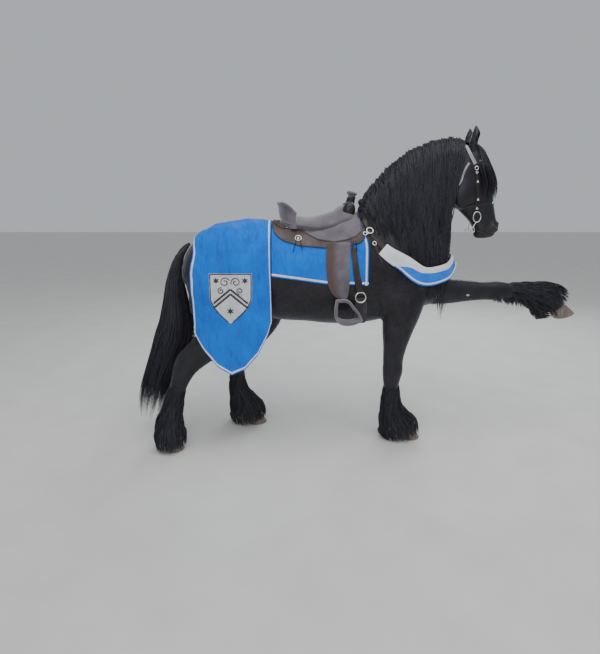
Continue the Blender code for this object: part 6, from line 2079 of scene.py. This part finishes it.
# %% Breast banner
BANNER = (
    (0.528, -0.240, 1.374, 0.086, 0.006), (0.562, -0.243, 1.345, 0.092, 0.008), (0.669, -0.242, 1.279, 0.108, 0.014),
    (0.783, -0.221, 1.199, 0.120, 0.022), (0.900, -0.175, 1.209, 0.110, 0.030), (0.992, -0.093, 1.259, 0.080, 0.052),
    (1.033, 0.000, 1.284, 0.064, 0.070),
)
BREAST_STRAP = (
    (0.560, -0.242, 1.350, 0.026, 0.003), (0.515, -0.232, 1.400, 0.030, 0.003), (0.462, -0.202, 1.462, 0.030, 0.003),
    (0.428, -0.163, 1.540, 0.030, 0.003), (0.412, -0.103, 1.612, 0.030, 0.003), (0.405, 0.000, 1.667, 0.030, 0.003),
)
TIE = ((0.470, -0.215, 1.415, 0.018, 0.003), (0.492, -0.225, 1.350, 0.018, 0.003), (0.522, -0.235, 1.285, 0.018, 0.003))
HALF_BANNER = 0.80
banner_cloth = Finish("banner_cloth", (0.80, 0.82, 0.86), 0.7, Sheen_Weight=0.1)
flat_place = banner_cloth.node("ShaderNodeSeparateXYZ", {"Vector": banner_cloth.place("UV")}).outputs
from_chest = banner_cloth.math("ABSOLUTE", banner_cloth.math("SUBTRACT", flat_place["X"], HALF_BANNER))
white_share = banner_cloth.ramp(
    banner_cloth.math("DIVIDE", from_chest, HALF_BANNER),
    [(0.0, (0.46,) * 3), (0.35, (0.38,) * 3), (0.57, (0.30,) * 3), (0.73, (0.44,) * 3), (0.86, (1.0,) * 3)],
)
is_white = banner_cloth.math("LESS_THAN", flat_place["Y"], white_share)
soil = banner_cloth.noise(14.0, 5.0)
pale = banner_cloth.ramp(soil, [(0.3, (0.62, 0.64, 0.68)), (0.7, (0.84, 0.86, 0.89))])
deep = banner_cloth.ramp(soil, [(0.3, (0.0, 0.135, 0.70)), (0.7, (0.002, 0.21, 0.90))])
banner_cloth.colour(banner_cloth.mix(is_white, deep, pale))
drawn = banner_cloth.noise(1.0, 3.0, banner_cloth.stretched((24, 14, 10), (0, -0.8, 0)))
banner_cloth.bump(banner_cloth.noise(60.0, 3.0), 0.25, 0.003, banner_cloth.bump(drawn, 0.6, 0.012))
strap_piece(
    "breast_strap", mirrored(BREAST_STRAP), body_tree, 90, 6, 0.004, dark_brown, "brown_leather", (), False, 4
)
for side in BOTH:
    tie = [(x, y * -side, z, *rest) for x, y, z, *rest in TIE]
    strap_piece("breast_tie_" + ("right" if side < 0 else "left"), tie, body_tree, 14, 4, 0.003, dark_brown, "brown_leather")
banner_grid, banner_ways = strap_piece(
    "banner", mirrored(BANNER), body_tree, 130, 13, 0.005, banner_cloth, "blue_cloth", ("breast_banner",), False, 6
)
banner = bpy.data.objects["banner"]
banner_run = np.concatenate([[0], np.cumsum(np.linalg.norm(np.diff(banner_grid[:, 6], axis=0), axis=1))])
FLAT["banner"] = flat_size(banner_grid, 1)
print("banner flat", *(round(size, 3) for size in FLAT["banner"]))


def banner_line(share, width, crown, name, finish, reach):
    """Braid that runs along the banner at a share of its width, this far to each side of the chest."""
    rows = np.abs(banner_run - banner_run[-1] / 2) < reach
    at = share * (banner_grid.shape[1] - 1)
    k = int(at)
    middle = banner_grid[:, k] * (1 - at + k) + banner_grid[:, min(k + 1, 12)] * (at - k)
    across = banner_grid[:, -1] - banner_grid[:, 0]
    across /= np.linalg.norm(across, axis=1)[:, None]
    first = middle - across * width / 2 + banner_ways[:, 0] * 0.005
    second = middle + across * width / 2 + banner_ways[:, 0] * 0.005
    line = ribbon(first[rows], second[rows], banner_ways[rows, 0], crown)
    return hand_over(new_object(name, line, finish), "blue_cloth", sharp=50)


banner_braid = banner_line(0.88, 0.011, 0.002, "banner_braid", white, 0.67)

# %% [markdown]
# ## Bridle
# The bridle is flat black leather with silver mounts: cheekpieces, a browband, a
# noseband, a throatlatch, and an oval bit ring with a shank and a small ring below.

# %% Straps
STRAP = 0.0035
shiny = Finish("shiny_leather", (0.30, 0.30, 0.33), 0.25, Coat_Weight=0.6)
shiny.bump(shiny.noise(220.0, 3.0), 0.2, 0.0005)
head_tree = body_tree
CHEEK = (
    (1.183, -0.060, 1.618, 0.018, 0.0), (1.183, -0.075, 1.690, 0.020, 0.0), (1.170, -0.090, 1.798, 0.020, 0.0),
    (1.150, -0.095, 1.890, 0.022, 0.0), (1.116, -0.080, 1.970, 0.024, 0.0), (1.088, -0.045, 2.045, 0.024, 0.0),
    (1.080, 0.000, 2.075, 0.024, 0.0),
)
BROW = ((1.166, -0.095, 1.930, 0.020, 0.0), (1.205, -0.080, 1.942, 0.020, 0.0), (1.240, -0.050, 1.950, 0.020, 0.0))
NOSE = (
    (1.320, 0.000, 1.672, 0.020, 0.0), (1.297, -0.045, 1.668, 0.020, 0.0), (1.240, -0.065, 1.660, 0.020, 0.001),
    (1.183, -0.064, 1.652, 0.020, 0.006), (1.120, -0.055, 1.644, 0.020, 0.001), (1.070, -0.025, 1.638, 0.020, 0.0),
    (1.062, 0.000, 1.637, 0.020, 0.0),
)
THROAT = (
    (1.106, -0.080, 1.925, 0.014, 0.0), (1.075, -0.090, 1.870, 0.014, 0.0), (1.058, -0.085, 1.810, 0.014, 0.0),
    (1.040, -0.050, 1.760, 0.014, 0.0), (1.030, 0.000, 1.740, 0.014, 0.0),
)
cheek_grid, cheek_ways = strap_piece(
    "bridle_cheeks", mirrored(CHEEK), head_tree, 70, 6, STRAP, black, "black_leather", ("headstall",)
)
brow_path = mirrored(BROW + ((1.255, 0.000, 1.952, 0.020, 0.0),))
strap_piece("bridle_brow", brow_path, head_tree, 36, 6, STRAP, black, "black_leather", ("browband",))
nose_grid, nose_ways = strap_piece(
    "bridle_nose", mirrored(NOSE)[:-1], head_tree, 64, 6, STRAP, black, "black_leather", ("noseband",), True
)
strap_piece("bridle_throat", mirrored(THROAT), head_tree, 40, 5, STRAP, shiny, "black_leather", ("throatlatch",))

CROWN = (
    (1.142, -0.092, 1.918, 0.020, 0.004), (1.116, -0.080, 1.970, 0.020, 0.005), (1.088, -0.045, 2.045, 0.020, 0.008),
    (1.080, 0.000, 2.075, 0.020, 0.010),
)
strap_piece("bridle_crown", mirrored(CROWN), head_tree, 40, 5, STRAP, shiny, "black_leather")

# %% Bit
for word, side in SIDES:
    low_corner, high_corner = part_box("bit_" + word)
    y = ((low_corner + high_corner) / 2 - SHIFT).y
    upper = loop_path((1.191, y, 1.577), (0.025, 0.035))
    rod("bit_ring_" + word, upper, 0.004, metal, "silver_metal", 10, True, ("bit_" + word,))
    shank = [(1.187, y, 1.543), (1.180, y, 1.530), (1.172, y, 1.515), (1.168, y, 1.505)]
    rod("bit_shank_" + word, shank, 0.0035, metal, "silver_metal")
    rod("bit_low_ring_" + word, loop_path((1.166, y, 1.490), (0.013, 0.017)), 0.003, metal, "silver_metal", 10, True)

# %% [markdown]
# Silver mounts repeat along the straps, so a tree places them: one disc with a raised
# middle, copied to points and turned to face away from the strap.

# %% Silver mounts


def mount_shape(radius, height):
    """A round silver mount with a beaded rim, as a lathe-like dome."""
    profile = ((0.0, 1.0), (0.30, 0.95), (0.42, 0.55), (0.62, 0.50), (0.78, 0.85), (0.92, 0.70), (1.0, 0.0), (0.9, -0.2))
    points, faces, sides = [], [], 24
    for share, level in profile[1:]:
        for k in range(sides):
            turn = 2 * math.pi * k / sides
            beads = 1 + 0.04 * math.cos(turn * 8) * (share > 0.7)
            points.append((radius * share * beads * math.cos(turn), radius * share * beads * math.sin(turn), height * level))
    points.append((0, 0, height))
    points.append((0, 0, -0.2 * height))
    n = len(profile) - 1
    for r in range(n - 1):
        for k in range(sides):
            a, b = r * sides + k, r * sides + (k + 1) % sides
            faces.append((a, b, b + sides, a + sides))
    faces += [(len(points) - 2, (k + 1) % sides, k) for k in range(sides)]
    faces += [(len(points) - 1, (n - 1) * sides + k, (n - 1) * sides + (k + 1) % sides) for k in range(sides)]
    return outwards(mesh_of("mount", points, faces))


mounts = NodeTree("mounts_on_points")
shape_in = mounts.input("Shape", "Object")
faced = mounts.node("FunctionNodeAlignRotationToVector", {"Vector": mounts.attribute("way", "FLOAT_VECTOR")}, axis="Z")
turned = mounts.node(
    "FunctionNodeAlignRotationToVector", {"Rotation": faced.outputs[0], "Vector": (0, 0, 1)}, axis="Y", pivot_axis="Z"
)
set_down = mounts.node("GeometryNodeMeshToPoints", {"Mesh": mounts.start.outputs["Geometry"]})
shape = mounts.node("GeometryNodeObjectInfo", {"Object": shape_in, "As Instance": True})
placed = mounts.node(
    "GeometryNodeInstanceOnPoints",
    {"Points": set_down.outputs[0], "Instance": shape.outputs["Geometry"], "Rotation": turned.outputs[0]},
)
mounts.finish(placed.outputs[0], metal.material)


def figure_shape(outline, height):
    """A silver mount with any outline, domed."""
    count = len(outline)
    levels = ((1.0, -0.3), (1.0, 0.4), (0.80, 0.9), (0.45, 1.0))
    points = [(x * share, y * share, height * level) for share, level in levels for x, y in outline]
    faces = []
    for r in range(len(levels) - 1):
        for k in range(count):
            a, b = r * count + k, r * count + (k + 1) % count
            faces.append((a, b, b + count, a + count))
    faces.append(tuple(range(count)))
    faces.append(tuple(3 * count + k for k in range(count)))
    return outwards(mesh_of("figure", points, faces))


def ring_shape(radius, thick):
    """A flat ring with a round section."""
    points, faces, around, section = [], [], 32, 10
    for k in range(around):
        turn = 2 * math.pi * k / around
        for j in range(section):
            roll_turn = 2 * math.pi * j / section
            reach = radius + thick * math.cos(roll_turn)
            points.append((reach * math.cos(turn), reach * math.sin(turn), thick * (0.6 + math.sin(roll_turn))))
            a, b = k * section, (k + 1) % around * section
            faces.append((a + j, b + j, b + (j + 1) % section, a + (j + 1) % section))
    return outwards(mesh_of("ring", points, faces))


def heart_outline(size):
    turns = [2 * math.pi * k / 28 for k in range(28)]
    return [
        (size * math.sin(t) ** 3, size * (13 * math.cos(t) - 5 * math.cos(2 * t) - 2 * math.cos(3 * t)) / 16)
        for t in turns
    ]


def drop_outline(size):
    turns = [2 * math.pi * k / 24 for k in range(24)]
    return [(size * (1 - 0.25 * math.cos(3 * t)) * math.cos(t + math.pi / 2), -size * (1 - 0.25 * math.cos(3 * t)) * math.sin(t + math.pi / 2)) for t in turns]


def mounts_at(name, spots, ways, shape_mesh, slot="silver_metal"):
    """Mounts of one shape at these places, each facing its own way."""
    model_piece = new_object("mount_model", shape_mesh, metal)
    model_piece.hide_render = True
    holder = new_object(name, mesh_of(name, spots, []))
    layer = holder.data.attributes.new("way", "FLOAT_VECTOR", "POINT")
    layer.data.foreach_set("vector", np.array(ways, np.float32).ravel())
    grow(holder, mounts, Shape=model_piece)
    bpy.data.objects.remove(model_piece)
    return hand_over(holder, slot, sharp=60)


def on_strap(grid, ways, z, side, lift=STRAP):
    """The strap's middle where it passes this height on one side."""
    middle = grid[:, grid.shape[1] // 2]
    mine = [k for k in range(len(middle)) if middle[k, 1] * side > 0]
    k = min(mine, key=lambda i: abs(middle[i, 2] - z))
    return middle[k] + ways[k, 0] * lift, ways[k, 0]


def strap_places(heights):
    found = [on_strap(cheek_grid, cheek_ways, z, side) for z in heights for side in BOTH]
    return [spot for spot, _ in found], [way for _, way in found]


mounts_at("cheek_rings", *strap_places((1.896,)), ring_shape(0.0115, 0.0036))
mounts_at("cheek_hearts", *strap_places((1.866,)), figure_shape(heart_outline(0.0115), 0.003))
mounts_at("cheek_drops", *strap_places((1.800, 1.690, 1.640)), figure_shape(drop_outline(0.0085), 0.003))
nose_spots = [k for k in range(len(nose_grid)) if nose_grid[k, 0, 0] > 1.285 and abs(nose_grid[k, 0, 1]) > 0.02]
mounts_at(
    "nose_mounts", [nose_grid[k, 3] + nose_ways[k, 0] * STRAP for k in nose_spots[::2]],
    [nose_ways[k, 0] for k in nose_spots[::2]], mount_shape(0.008, 0.003),
)


def on_side(x, z, side, lift):
    hit, normal, _, _ = layers.ray_cast(Vector((x, side * 2.0, z)), Vector((0, -side, 0)))
    normal = normal if normal.y * side > 0 else -normal
    return hit + normal * lift, normal


def side_places(places, lift=0.0005):
    found = [on_side(x, z, side, lift) for x, z in places for side in BOTH]
    return [spot for spot, _ in found], [way for _, way in found]


rosettes = mounts_at("saddle_rosettes", *side_places(((0.345, 1.430),)), mount_shape(0.021, 0.007))
rosettes.data.materials.clear()
rosettes.data.materials.append(brown.material)
mounts_at("saddle_mounts", *side_places(((-0.085, 1.512),)), mount_shape(0.013, 0.005))
mounts_at("saddle_rings", *side_places(((-0.012, 1.442),)), ring_shape(0.020, 0.0036))
mounts_at("saddle_ring_bosses", *side_places(((-0.012, 1.442),)), mount_shape(0.010, 0.004))
mounts_at("breast_rings", *side_places(((0.447, 1.484),), 0.011), ring_shape(0.021, 0.0042))
mounts_at("breast_studs", *side_places(((0.413, 1.468), (0.474, 1.408)), 0.008), ring_shape(0.012, 0.0036))
strings = []
for side in BOTH:
    for start_x, end_x, drop in ((-0.020, -0.044, 0.085), (-0.004, 0.016, 0.072), (0.340, 0.326, 0.080), (0.352, 0.362, 0.066)):
        top_z = 1.442 if start_x < 0.1 else 1.430
        line = []
        for k in range(9):
            t = k / 8
            spot, _ = on_side(start_x + (end_x - start_x) * t, top_z - drop * t, side, 0.004 + 0.002 * math.sin(3 * t))
            line.append(spot[:])
        strings.append(rod_mesh(line, 0.0024, 6))
hand_over(new_object("saddle_strings", joined(strings), black), "black_leather")

# %% [markdown]
# ## Sizes
# The size that each cloth was cut to is printed, and the box of the dressed horse
# is printed beside that of the solids.

# %% Cloth sizes and the dressed box
SHEETS = ((caparison, [skin], [braid]), (under_cloth, [skin], [under_braid]), (banner, [skin], [banner_braid]))
for cloth, below, along_with in SHEETS:
    wide, long, area = FLAT[cloth.name]
    size = (round(wide + 0.001, 3), round(long + 0.001, 3))
    print(cloth.name, "was cut", size, round(area, 3), "square metres")
bpy.context.view_layer.update()
dressed_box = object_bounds()
sizes = {"cad": [list(corner) for corner in solid_box], "visual": [list(corner) for corner in dressed_box]}
print(sizes)
